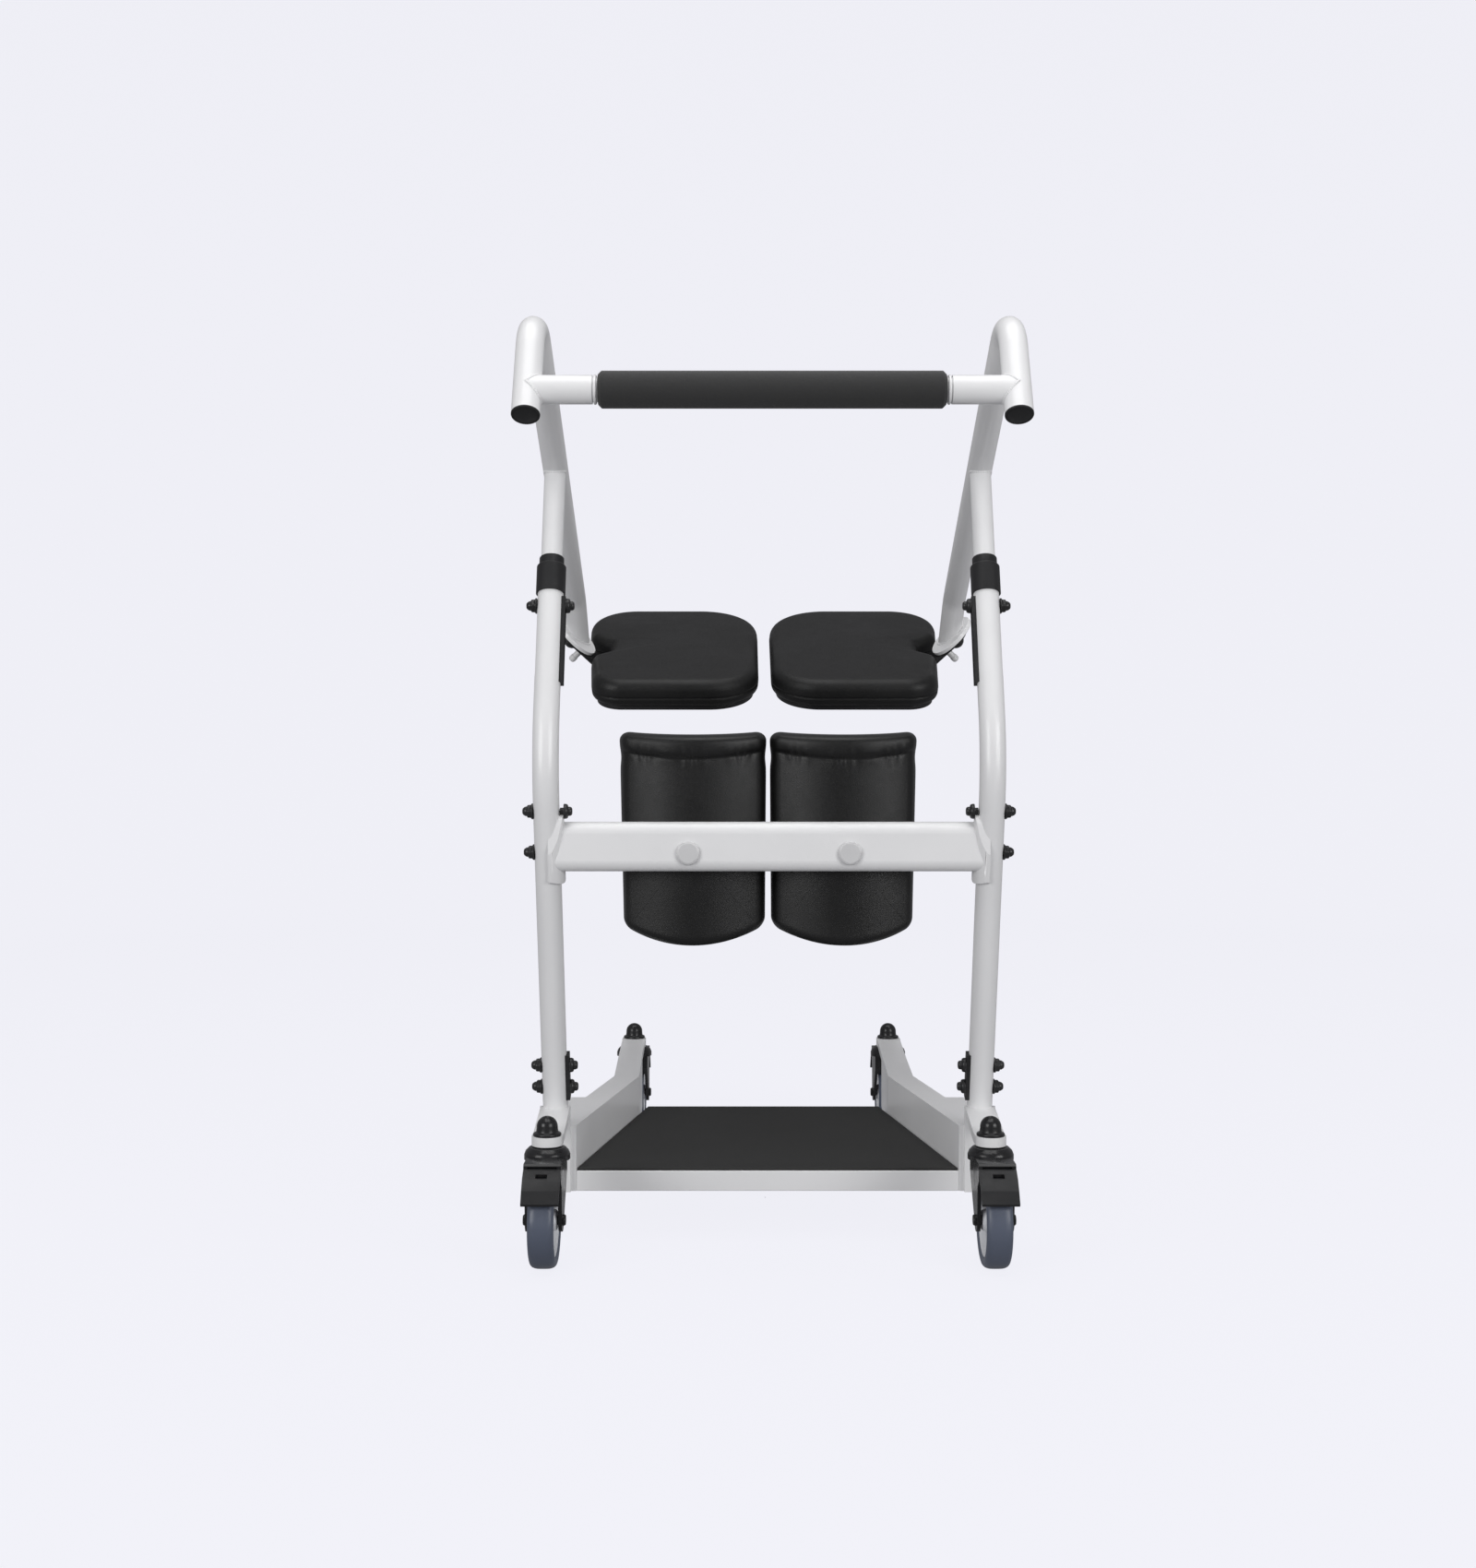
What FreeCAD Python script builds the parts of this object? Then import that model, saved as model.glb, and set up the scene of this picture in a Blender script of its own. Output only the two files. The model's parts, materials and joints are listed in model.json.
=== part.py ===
import FreeCAD
import Part
import math
import os

# Sit to stand lift: a wheeled frame that a person pulls up on and then perches on.
#
# Frame: +Z up from the floor, X across the object, +Y from the handlebar towards the person.
# The model is drawn about the front caster stems (Y = 0) and moved at the end, so that its
# origin is on the floor in the middle of its length and width. Sizes are in millimetres.
# Pieces are drawn for the left side (-X) and mirrored to the right.

# ---------------------------------------------------------------- driving dimensions

# side frames
FRAME_X = 236.5              # the planes that the uprights and the hoops lie in
TUBE_OD = 28.0
TUBE_WALL = 2.0
SLIDE_GAP = 0.3              # radial gap between the telescoping tubes
FOOT_Y = 100.0               # the upright's axis where it stands on the base
LOWER_LEAN = 16.1            # degrees forward, below the bend
LOWER_LENGTH = 427.0         # from the base to the point of the bend
UPPER_LEAN = 20.4            # degrees back, above the bend
UPPER_LENGTH = 216.0         # from the point of the bend to the tube's top
BEND_RADIUS = 160.0

# telescoping tube, height bolt and its slot
INNER_LENGTH = 192.0         # from the inner tube's lower end to the axis of the arm
BOLT_FROM_TOP = 40.0         # the height bolt, below the top of the upright
SLIDE_TRAVEL = 80.0
BOLT_D = 8.0
BOLT_GAP = 0.3               # all round a bolt in its hole or slot
BOLT_TO_TUBE_END = 22.0

# collar on top of the upright
COLLAR_WALL = 2.0            # round the upright
COLLAR_NECK_WALL = 1.5       # round the inner tube
COLLAR_NECK = 17.3
COLLAR_SKIRT = 26.0

# hoop arm, in its own plane
ARM_SLOPE = 27.4             # degrees down towards the person
ARM_END_SLOPE = 43.0         # the last stretch before the seat
ARM_END_LENGTH = 60.0
ARM_END_RADIUS = 60.0
ARM_REACH = 540.0            # from the crown's corner to the bend above the seat
CROWN_RADIUS = 50.0
LEG_LEAN = 28.6              # the front leg of the hoop, degrees off vertical
LEG_LENGTH = 129.5
CROWN_TO_JUNCTION = 261.0    # from the crown's corner to the telescoping tube
CAP_THICK = 2.5
CAP_PLUG = 12.0

# handlebar
BAR_FROM_END = 29.5          # from the open end of the hoop, along its front leg
SLEEVE_OD = 28.0
BAR_OD = 24.0
SLEEVE_END_X = 173.5
GRIP_OD = 36.0
GRIP_HALF = 168.0
GRIP_CHAMFER = 4.0

# knee beam, saddles and pads
BEAM_Z = 441.0
BEAM_HEIGHT = 53.0
BEAM_DEPTH = 25.0
BEAM_WALL = 2.0
SADDLE_THICK = 4.5
SADDLE_HEIGHT = 80.0
SADDLE_ANGLE = 65.0          # how far the saddle wraps the tube, each way, in degrees
BEAM_BOLT_UP = 38.0          # upper bolt above the beam's middle
BEAM_BOLT_DOWN = 6.0         # lower bolt below the beam's middle
PAD_BOLT_X = 86.0
PAD_BOLT_DROP = 6.5
PAD_CAP_D = 25.0
PAD_CAP_THICK = 4.0
KNEE_GAP = 3.5               # between the two knee pads
KNEE_WIDTH = 161.5
KNEE_TAPER = 1.0             # degrees on each side, narrower at the bottom
KNEE_TOP = 566.0
KNEE_HEIGHT = 234.3
KNEE_SAG = 26.0              # how far the pad's curve bulges to the front
KNEE_SHELL = 5.0
KNEE_CUSHION = 30.0
KNEE_LIP = 28.0              # rolled edge along the top
KNEE_LIP_PROUD = 5.0
KNEE_BOTTOM_SAG = 20.3
KNEE_STANDOFF = 3.0          # spacer between the beam and the shell
SPACER_D = 40.0

# base
LEG_TOP = 125.0
BASE_BOTTOM = 51.3
BASE_WALL = 3.0
LEG_WIDTH = 32.0
LEG_FRONT_Y = 94.0
LEG_FRONT_IN = 22.6          # from the upright's plane in to the leg's inner face, at its front end
LEG_KINK_Y = 412.0
LEG_KINK_IN = 76.5           # and at the kink
LEG_REAR_Y = 590.0
BLOCK_WIDTH = 34.0
BLOCK_REAR_Y = 264.0
END_PLATE = 6.0
END_PLATE_TOP = 147.0
SPIGOT_HEIGHT = 75.0
BASE_BOLT_LOW = 170.0        # heights of the two bolts through the foot of the upright
BASE_BOLT_HIGH = 195.0
PLATE_RISE = 0.0             # the footplate pan's underside above the legs'
LIP_HEIGHT = 22.6
RAIL_DEPTH = 25.0
PAN_THICK = 3.0
MAT_THICK = 3.0
MAT_REAR_Y = 459.0
MAT_FRONT_SET = 2.0

# casters
FRONT_STEM_IN = 0.0          # from the uprights' plane in to the front stems
REAR_STEM_IN = 55.5          # and to the rear stems
WHEELBASE = 680.0
WHEEL_D = 100.0
WHEEL_WIDTH = 28.0
TRAIL = 30.0
ARM_PLATE_TOP = 133.0
ARM_PLATE = 10.0
ARM_END_R = 16.5
STEM_D = 12.0
STEM_GAP = 0.3
NUT_FLANGE_D = 30.0
NUT_DOME_D = 22.7
NUT_FLANGE = 4.0
NUT_HEIGHT = 21.0
HEAD_D = 49.0
HEAD_TOP_GAP = 0.6
HEAD_HEIGHT = 14.0
FORK_THICK = 4.0
WHEEL_GAP = 1.5              # beside the wheel
WHEEL_CLEAR = 3.5            # above the tyre
AXLE_D = 10.0
RUNNING_GAP = 0.05
AXLE_HEAD_D = 12.0
AXLE_HEAD = 3.0
TYRE_WALL = 12.0
PEDAL_WIDTH = 39.0
PEDAL_PIN_D = 4.0
PEDAL_HUB_D = 9.0
PEDAL_WINDOW = 12.0
PEDAL_SWING = 8.0            # degrees
CROWN_FRONT = 54.0           # the front of the fork's crown, from the stem
CROWN_BAR = 3.0
CHEEK_BACK = 20.0
CHEEK_END_R = 12.0

# seat halves
SEAT_SLOPE = 23.2            # degrees down to the front
SEAT_DROP = 8.2              # top of the cushion below the pivot, square to the seat
SEAT_GAP = 16.0              # between the two halves
SEAT_LENGTH = 274.0
SEAT_EDGE_FRONT = 26.5       # from the pivot in to the seat's outer edge, at its front corner
SEAT_EDGE_REAR = 6.5         # and at its rear corner
CUSHION = 36.0
BOARD = 6.0
BOARD_INSET = 6.0
DISC_R = 31.0
DISC_THICK = 5.0
DISC_GAP = 0.5
HINGE_PLATE = 6.0
HINGE_WIDTH = 34.0
HINGE_REACH = 170.0          # inner end of the hinge plate, from the pivot
RECESS_GAP = 6.0             # between the disc and the seat's recess
NOTCH_GAP = 2.0
PIVOT_HEAD_D = 18.0
PIVOT_HEAD = 9.0
STOP_PIN_D = 8.0
STOP_PIN_R = 17.0            # from the pivot's axis
STOP_PIN_TAIL = 20.0
STOP_GROOVE = 3.0
SEAT_SWING = 150.0           # degrees

# hardware on the tubes
STRIP_THICK = 3.0
STRIP_WIDTH = 13.0
NUT_W = 17.0
NUT_BASE = 5.0
NUT_TIP = 6.5
HEAD_W = 16.0
HEAD_LIP = 3.0
HEAD_DOME = 6.0


# ---------------------------------------------------------------- helpers

def vec(x, y, z):
    return FreeCAD.Vector(x, y, z)


X_AXIS = vec(1, 0, 0)
Y_AXIS = vec(0, 1, 0)
Z_AXIS = vec(0, 0, 1)


def block(x0, x1, y0, y1, z0, z1):
    """A box between two corners."""
    return Part.makeBox(x1 - x0, y1 - y0, z1 - z0, vec(x0, y0, z0))


def rod(start, direction, length, diameter):
    """A round bar from start, along direction."""
    return Part.makeCylinder(diameter / 2, length, start, direction)


def turned(points, origin, axis, side):
    """A solid of revolution: points are (radius, height along the axis) from origin."""
    line = [origin + side * r + axis * h for r, h in points]
    face = Part.Face(Part.makePolygon(line + [line[0]]))
    return face.revolve(origin, axis, 360)


def prism(points, direction):
    """A flat outline of points, carried along a vector."""
    return Part.Face(Part.makePolygon(points + [points[0]])).extrude(direction)


def rounded_wire(corners):
    """A closed wire through corners (point, radius), each rounded by its own radius."""
    edges = []
    ends = []
    count = len(corners)
    for i, (corner, radius) in enumerate(corners):
        before = (corners[i - 1][0] - corner).normalize()
        after = (corners[(i + 1) % count][0] - corner).normalize()
        if radius <= 0:
            ends.append((corner, corner, None))
            continue
        half = before.getAngle(after) / 2
        cut = radius / math.tan(half)
        middle = (before + after).normalize()
        top = corner + middle * (radius / math.sin(half) - radius)
        ends.append((corner + before * cut, corner + after * cut, top))
    for i, (start, end, top) in enumerate(ends):
        if top is not None:
            edges.append(Part.Arc(start, top, end).toShape())
        following = ends[(i + 1) % count][0]
        if (following - end).Length > 1e-6:
            edges.append(Part.LineSegment(end, following).toShape())
    return Part.Wire(edges)


def bent_path(points, radii):
    """An open wire through points, with an arc of its own radius at each inner point."""
    edges = []
    start = points[0]
    for corner, radius, following in zip(points[1:-1], radii, points[2:]):
        before = (start - corner).normalize()
        after = (following - corner).normalize()
        half = before.getAngle(after) / 2
        cut = radius / math.tan(half)
        middle = (before + after).normalize()
        first = corner + before * cut
        last = corner + after * cut
        top = corner + middle * (radius / math.sin(half) - radius)
        edges.append(Part.LineSegment(start, first).toShape())
        edges.append(Part.Arc(first, top, last).toShape())
        start = last
    edges.append(Part.LineSegment(start, points[-1]).toShape())
    return Part.Wire(edges)


def swept(path, diameter):
    """A round bar along a bent path."""
    start = path.Edges[0].valueAt(path.Edges[0].FirstParameter)
    direction = path.Edges[0].tangentAt(path.Edges[0].FirstParameter)
    circle = Part.Wire([Part.Circle(start, direction, diameter / 2).toShape()])
    return path.makePipeShell([circle], True, False)


def mirrored(shape):
    return shape.mirror(vec(0, 0, 0), X_AXIS)


def half_space(origin, normal, size=400.0):
    """A large block on the side of the plane that its normal points to."""
    plane = Part.makePlane(size, size)
    turn = FreeCAD.Rotation(Z_AXIS, normal)
    plane.Placement = FreeCAD.Placement(origin - turn.multVec(vec(size / 2, size / 2, 0)), turn)
    return plane.extrude(normal * size)


nodes = {}


def keep(name, *shapes):
    """Store a node; several solids are kept as one group."""
    nodes[name] = shapes[0] if len(shapes) == 1 else Part.makeCompound(list(shapes))


def keep_pair(name, shape):
    """Store the left piece and its mirror image."""
    keep(name + "_left", shape)
    keep(name + "_right", mirrored(shape))


def keep_both(name, *shapes):
    """Store the left pieces and their mirror images as one group."""
    keep(name, *shapes, *[mirrored(shape) for shape in shapes])


def leaning(degrees):
    """A unit vector in the side plane, leaning back from vertical."""
    angle = math.radians(degrees)
    return vec(0, math.sin(angle), math.cos(angle))


def sloping(degrees):
    """A unit vector in the side plane, level to the rear and falling by an angle."""
    angle = math.radians(degrees)
    return vec(0, math.cos(angle), -math.sin(angle))


# ---------------------------------------------------------------- uprights

TUBE_ID = TUBE_OD - 2 * TUBE_WALL
INNER_OD = TUBE_ID - 2 * SLIDE_GAP
FRAME_R = TUBE_OD / 2
COLLAR_R = FRAME_R + COLLAR_WALL
NECK_R = TUBE_ID / 2 + COLLAR_NECK_WALL
LEG_FRONT_X = FRAME_X - LEG_FRONT_IN
LEG_KINK_X = FRAME_X - LEG_KINK_IN
FRONT_STEM_X = FRAME_X - FRONT_STEM_IN
REAR_STEM_X = FRAME_X - REAR_STEM_IN

foot = vec(-FRAME_X, FOOT_Y, LEG_TOP)
lower_dir = leaning(-LOWER_LEAN)
upper_dir = leaning(UPPER_LEAN)
bend = foot + lower_dir * LOWER_LENGTH
top = bend + upper_dir * UPPER_LENGTH
height_bolt = top - upper_dir * BOLT_FROM_TOP
slide_dir = upper_dir


def on_lower(height):
    """The point on the upright's lower axis at a height."""
    return foot + lower_dir * ((height - foot.z) / lower_dir.z)


def tube_bolt(centre, inside, outside):
    """A bolt across a tube: domed head on the inside, cap nut outside. inside and outside
    are the distances from the axis to the faces that it clamps."""
    length = inside + outside
    shank = BOLT_D / 2
    profile = [
        (0, -HEAD_LIP - HEAD_DOME), (HEAD_W * 0.28, -HEAD_LIP - HEAD_DOME * 0.85),
        (HEAD_W * 0.42, -HEAD_LIP - HEAD_DOME * 0.45), (HEAD_W / 2, -HEAD_LIP), (HEAD_W / 2, 0),
        (shank, 0), (shank, length), (NUT_W / 2, length), (NUT_W / 2, length + 1.5),
        (NUT_W * 0.38, length + NUT_BASE), (NUT_W * 0.31, length + NUT_BASE),
        (NUT_W * 0.28, length + NUT_BASE + NUT_TIP * 0.6),
        (NUT_W * 0.16, length + NUT_BASE + NUT_TIP), (0, length + NUT_BASE + NUT_TIP)]
    return turned(profile, centre + X_AXIS * inside, vec(-1, 0, 0), Z_AXIS)


def slot_along(centre, direction, length, width, depth):
    """A cutter for a round-ended slot across X, from centre along direction."""
    side = direction.cross(X_AXIS).normalize()
    start = centre - X_AXIS * depth / 2
    bar = prism([start + side * width / 2, start - side * width / 2,
                 start - side * width / 2 + direction * length,
                 start + side * width / 2 + direction * length], X_AXIS * depth)
    ends = [rod(start + direction * d, X_AXIS, depth, width) for d in (0, length)]
    return bar.fuse(ends)


def flat_strip(centre, direction, above, below):
    """A strip against the inner side of a tube, cut to the tube's curve."""
    side = direction.cross(X_AXIS).normalize()
    inner = centre + X_AXIS * (FRAME_R - 2.0) + direction * above
    corners = [inner + side * STRIP_WIDTH / 2, inner - side * STRIP_WIDTH / 2]
    corners += [corner - direction * (above + below) for corner in reversed(corners)]
    return prism(corners, X_AXIS * (STRIP_THICK + 2.0))


bolt_hole = BOLT_D + 2 * BOLT_GAP
path_end = foot - lower_dir * 20.0
upright_path = bent_path([path_end, bend, top], [BEND_RADIUS])
outer_bar = swept(upright_path, TUBE_OD)
bore_bar = swept(upright_path, TUBE_ID)
tube_slot = slot_along(height_bolt, slide_dir * -1, SLIDE_TRAVEL, bolt_hole, TUBE_OD + 20)
base_bolts = [on_lower(BASE_BOLT_LOW), on_lower(BASE_BOLT_HIGH)]
beam_bolts = [on_lower(BEAM_Z + BEAM_BOLT_UP), on_lower(BEAM_Z - BEAM_BOLT_DOWN)]
upright = outer_bar.cut(bore_bar).cut(half_space(foot, Z_AXIS * -1)).cut(tube_slot)
for centre in base_bolts + beam_bolts:
    upright = upright.cut(rod(centre - X_AXIS * 20, X_AXIS, 40, bolt_hole))
keep_pair("upright", upright)

spigot = rod(path_end, lower_dir, SPIGOT_HEIGHT + 20.0, INNER_OD)
spigot = spigot.cut(half_space(foot, Z_AXIS * -1))
for centre in base_bolts:
    spigot = spigot.cut(rod(centre - X_AXIS * 20, X_AXIS, 40, bolt_hole))
keep_both("upright_spigots", spigot)

strip = flat_strip(base_bolts[1], lower_dir, 14.0, 14.0 + (base_bolts[1] - base_bolts[0]).Length)
strip = strip.cut(outer_bar)
for centre in base_bolts:
    strip = strip.cut(rod(centre, X_AXIS, 40, bolt_hole))
keep_both("base_bolt_strips", strip)
keep_both("base_bolts", *[tube_bolt(c, FRAME_R + STRIP_THICK, FRAME_R) for c in base_bolts])

slot_strip = flat_strip(height_bolt, slide_dir, 9.0, SLIDE_TRAVEL + 11.0)
slot_strip = slot_strip.cut(outer_bar).cut(tube_slot)
keep_both("slot_strips", slot_strip)

# collar: a neck round the inner tube, a shoulder on the upright and a plain skirt
skirt_start = top - upper_dir * COLLAR_SKIRT
collar = turned([
    (FRAME_R, 0), (COLLAR_R, 0), (COLLAR_R, COLLAR_SKIRT + 6.0),
    (COLLAR_R - 1.5, COLLAR_SKIRT + 8.0), (NECK_R, COLLAR_SKIRT + 8.0),
    (NECK_R, COLLAR_SKIRT + COLLAR_NECK - 1.0),
    (NECK_R - 0.7, COLLAR_SKIRT + COLLAR_NECK), (TUBE_ID / 2, COLLAR_SKIRT + COLLAR_NECK),
    (TUBE_ID / 2, COLLAR_SKIRT), (FRAME_R, COLLAR_SKIRT)], skirt_start, upper_dir, X_AXIS)
keep_both("height_collars", collar)

# ---------------------------------------------------------------- hoop arms and inner tubes

junction = top - upper_dir * (BOLT_FROM_TOP + BOLT_TO_TUBE_END) + upper_dir * INNER_LENGTH
arm_dir = sloping(ARM_SLOPE)
end_dir = sloping(ARM_END_SLOPE)
leg_dir = vec(0, -math.sin(math.radians(LEG_LEAN)), -math.cos(math.radians(LEG_LEAN)))
crown = junction - arm_dir * CROWN_TO_JUNCTION
seat_bend = crown + arm_dir * ARM_REACH
pivot = seat_bend + end_dir * ARM_END_LENGTH
leg_end = crown + leg_dir * LEG_LENGTH

# the seat's own directions: inboard, rearward up the seat, and up square to it
slope = math.radians(SEAT_SLOPE)
seat_in = vec(1, 0, 0)
seat_back = vec(0, math.cos(slope), math.sin(slope))
seat_up = vec(0, -math.sin(slope), math.cos(slope))
pivot_axis = (seat_in + seat_up).normalize() * -1      # down and outboard, 45 degrees each way
plate_dir = (seat_in - seat_up).normalize()            # down and inboard, in the disc's plane


def at_seat(across, back, up):
    """A point of the left seat, from its pivot."""
    return pivot + seat_in * across + seat_back * back + seat_up * up


arm_points = [leg_end, crown, seat_bend, pivot + end_dir * 40.0]
arm_radii = [CROWN_RADIUS, ARM_END_RADIUS]
arm_bar = swept(bent_path(arm_points, arm_radii), TUBE_OD)
arm_bore = swept(bent_path(arm_points, arm_radii), TUBE_ID)
below_disc = half_space(pivot, pivot_axis)
keep_pair("arm_tube", arm_bar.cut(arm_bore).cut(below_disc))

inner_start = height_bolt - upper_dir * BOLT_TO_TUBE_END
inner_tube = rod(inner_start, upper_dir, INNER_LENGTH, INNER_OD)
inner_tube = inner_tube.cut(rod(inner_start, upper_dir, INNER_LENGTH, INNER_OD - 2 * TUBE_WALL))
inner_tube = inner_tube.cut(arm_bar)
inner_tube = inner_tube.cut(rod(height_bolt - X_AXIS * 20, X_AXIS, 40, BOLT_D))
keep_pair("inner_tube", inner_tube)
keep_both("height_bolts", tube_bolt(height_bolt, FRAME_R + STRIP_THICK + BOLT_GAP, FRAME_R + BOLT_GAP))

cap = turned([(0, -CAP_PLUG), (TUBE_ID / 2, -CAP_PLUG), (TUBE_ID / 2, 0), (FRAME_R, 0),
              (FRAME_R, CAP_THICK * 0.6), (FRAME_R - 1.0, CAP_THICK), (0, CAP_THICK)],
             leg_end, leg_dir, X_AXIS)
keep_both("tube_end_caps", cap)

# ---------------------------------------------------------------- handlebar

bar_centre = leg_end - leg_dir * BAR_FROM_END
bar_y, bar_z = bar_centre.y, bar_centre.z
sleeve = rod(bar_centre, X_AXIS, FRAME_X - SLEEVE_END_X, SLEEVE_OD)
sleeve = sleeve.cut(rod(bar_centre, X_AXIS, 100, BAR_OD)).cut(arm_bar)
sleeve = max(sleeve.Solids, key=lambda solid: solid.Volume)
keep_both("handle_sleeves", sleeve)

bar_end = FRAME_X - FRAME_R - 2.0
bar = rod(vec(-bar_end, bar_y, bar_z), X_AXIS, 2 * bar_end, BAR_OD)
bar = bar.cut(rod(vec(-bar_end, bar_y, bar_z), X_AXIS, 2 * bar_end, BAR_OD - 2 * TUBE_WALL))
bar = bar.cut(arm_bar).cut(mirrored(arm_bar))
keep("grip_tube", max(bar.Solids, key=lambda solid: solid.Volume))

grip = turned([(BAR_OD / 2, 0), (GRIP_OD / 2 - GRIP_CHAMFER, 0), (GRIP_OD / 2, GRIP_CHAMFER),
               (GRIP_OD / 2, 2 * GRIP_HALF - GRIP_CHAMFER), (GRIP_OD / 2 - GRIP_CHAMFER, 2 * GRIP_HALF),
               (BAR_OD / 2, 2 * GRIP_HALF)], vec(-GRIP_HALF, bar_y, bar_z), X_AXIS, Z_AXIS)
keep("foam_grip", grip)

# ---------------------------------------------------------------- knee beam and knee pads

beam_axis = on_lower(BEAM_Z)
saddle_r = FRAME_R + SADDLE_THICK


def stadium(centre, height, depth, start_x, end_x):
    """An upright oval bar along X."""
    r = depth / 2
    straight = height / 2 - r
    bar = block(start_x, end_x, centre.y - r, centre.y + r, centre.z - straight, centre.z + straight)
    ends = [rod(vec(start_x, centre.y, centre.z + z), X_AXIS, end_x - start_x, depth)
            for z in (-straight, straight)]
    return bar.fuse(ends).removeSplitter()


saddle = Part.makeCylinder(saddle_r, 2 * SADDLE_HEIGHT, beam_axis - lower_dir * SADDLE_HEIGHT, lower_dir)
saddle = saddle.cut(rod(beam_axis - lower_dir * 100, lower_dir, 200, TUBE_OD))
wrap = saddle_r * math.sin(math.radians(SADDLE_ANGLE))
saddle = saddle.common(stadium(beam_axis, SADDLE_HEIGHT, 2 * wrap, -FRAME_X + 2.0, -FRAME_X + 30.0))
for centre in beam_bolts:
    saddle = saddle.cut(rod(centre, X_AXIS, 40, bolt_hole))
saddle_bar = rod(beam_axis - lower_dir * 100, lower_dir, 200, 2 * saddle_r)
keep_both("knee_beam_saddles", saddle)

beam = stadium(beam_axis, BEAM_HEIGHT, BEAM_DEPTH, -FRAME_X, FRAME_X)
beam = beam.cut(stadium(beam_axis, BEAM_HEIGHT - 2 * BEAM_WALL, BEAM_DEPTH - 2 * BEAM_WALL,
                        -FRAME_X, FRAME_X))
beam = beam.cut(saddle_bar).cut(mirrored(saddle_bar))
pad_bolt_z = BEAM_Z - PAD_BOLT_DROP
for x in (-PAD_BOLT_X, PAD_BOLT_X):
    beam = beam.cut(rod(vec(x, beam_axis.y - 40, pad_bolt_z), Y_AXIS, 80, bolt_hole))
keep("knee_beam", max(beam.Solids, key=lambda solid: solid.Volume))
keep_both("knee_beam_bolts", *[tube_bolt(c, saddle_r, FRAME_R) for c in beam_bolts])

# each pad is a slice of a wide upright tube, its hollow side towards the shin
pad_x = -(KNEE_GAP + KNEE_WIDTH) / 2
shell_y = beam_axis.y + BEAM_DEPTH / 2 + KNEE_STANDOFF
knee_r = ((KNEE_WIDTH / 2) ** 2 + KNEE_SAG ** 2) / (2 * KNEE_SAG)
knee_axis = vec(pad_x, shell_y + knee_r, KNEE_TOP - KNEE_HEIGHT)


def knee_ring(outer, inner, z0, z1):
    """A slice of ring about the pad's upright axis."""
    base = vec(knee_axis.x, knee_axis.y, z0)
    ring = Part.makeCylinder(outer, z1 - z0, base).cut(Part.makeCylinder(inner, z1 - z0, base))
    return ring


taper = KNEE_HEIGHT * math.tan(math.radians(KNEE_TAPER))
half = KNEE_WIDTH / 2
bottom_r = ((KNEE_WIDTH / 2) ** 2 + KNEE_BOTTOM_SAG ** 2) / (2 * KNEE_BOTTOM_SAG)


def knee_outline(inset):
    """The pad's outline seen from the front, as a cutter through its whole depth."""
    z0 = KNEE_TOP - KNEE_HEIGHT + inset
    corners = [vec(pad_x - half + inset, 0, KNEE_TOP), vec(pad_x + half - inset, 0, KNEE_TOP),
               vec(pad_x + half - inset - taper, 0, z0), vec(pad_x - half + inset + taper, 0, z0)]
    solid = prism(corners, Y_AXIS * 140)
    round_bottom = rod(vec(pad_x, 0, z0 + bottom_r), Y_AXIS, 140, 2 * bottom_r)
    tall = block(pad_x - half, pad_x + half, 0, 140, z0 + KNEE_BOTTOM_SAG, KNEE_TOP)
    return solid.common(round_bottom.fuse(tall))


lip_z = KNEE_TOP - KNEE_LIP
bottom_z = KNEE_TOP - KNEE_HEIGHT
shell_r = knee_r - KNEE_SHELL
shell = knee_ring(knee_r, shell_r, bottom_z, lip_z).common(knee_outline(3.0))
pad_hole = rod(vec(-PAD_BOLT_X, shell_y - 10, pad_bolt_z), Y_AXIS, 20, bolt_hole)
keep_pair("knee_pad_shell", shell.cut(pad_hole))

cushion_r = shell_r - KNEE_CUSHION
cushion = knee_ring(shell_r, cushion_r, bottom_z, lip_z)
lip = knee_ring(knee_r + KNEE_LIP_PROUD, cushion_r, lip_z, KNEE_TOP)
cushion = cushion.fuse(lip).common(knee_outline(0.0)).removeSplitter()
cushion = cushion.cut(rod(vec(-PAD_BOLT_X, shell_y, pad_bolt_z), Y_AXIS, KNEE_SHELL + 8.0, 18.0))
keep_pair("knee_pad", cushion)

beam_back = beam_axis.y + BEAM_DEPTH / 2
beam_front = beam_axis.y - BEAM_DEPTH / 2
spacer = rod(vec(-PAD_BOLT_X, beam_back, pad_bolt_z), Y_AXIS, KNEE_STANDOFF + 4.0, SPACER_D)
spacer = spacer.cut(Part.makeCylinder(knee_r, KNEE_HEIGHT, knee_axis))
spacer = spacer.cut(rod(vec(-PAD_BOLT_X, 0, pad_bolt_z), Y_AXIS, 80, bolt_hole))
keep_both("knee_pad_spacers", spacer)

shank = KNEE_STANDOFF + BEAM_DEPTH + KNEE_SHELL + 1.0
pad_bolt = turned([(0, -PAD_CAP_THICK), (PAD_CAP_D * 0.36, -PAD_CAP_THICK * 0.85),
                   (PAD_CAP_D / 2 - 0.8, -PAD_CAP_THICK * 0.45), (PAD_CAP_D / 2, 0), (BOLT_D / 2, 0),
                   (BOLT_D / 2, shank), (7.5, shank), (7.5, shank + 6.0), (0, shank + 6.0)],
                  vec(-PAD_BOLT_X, beam_front, pad_bolt_z), Y_AXIS, X_AXIS)
keep_both("knee_pad_bolts", pad_bolt)

# ---------------------------------------------------------------- base

leg_slope = (LEG_FRONT_X - LEG_KINK_X) / (LEG_KINK_Y - LEG_FRONT_Y)
rear_inner_x = REAR_STEM_X - LEG_WIDTH / 2


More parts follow.
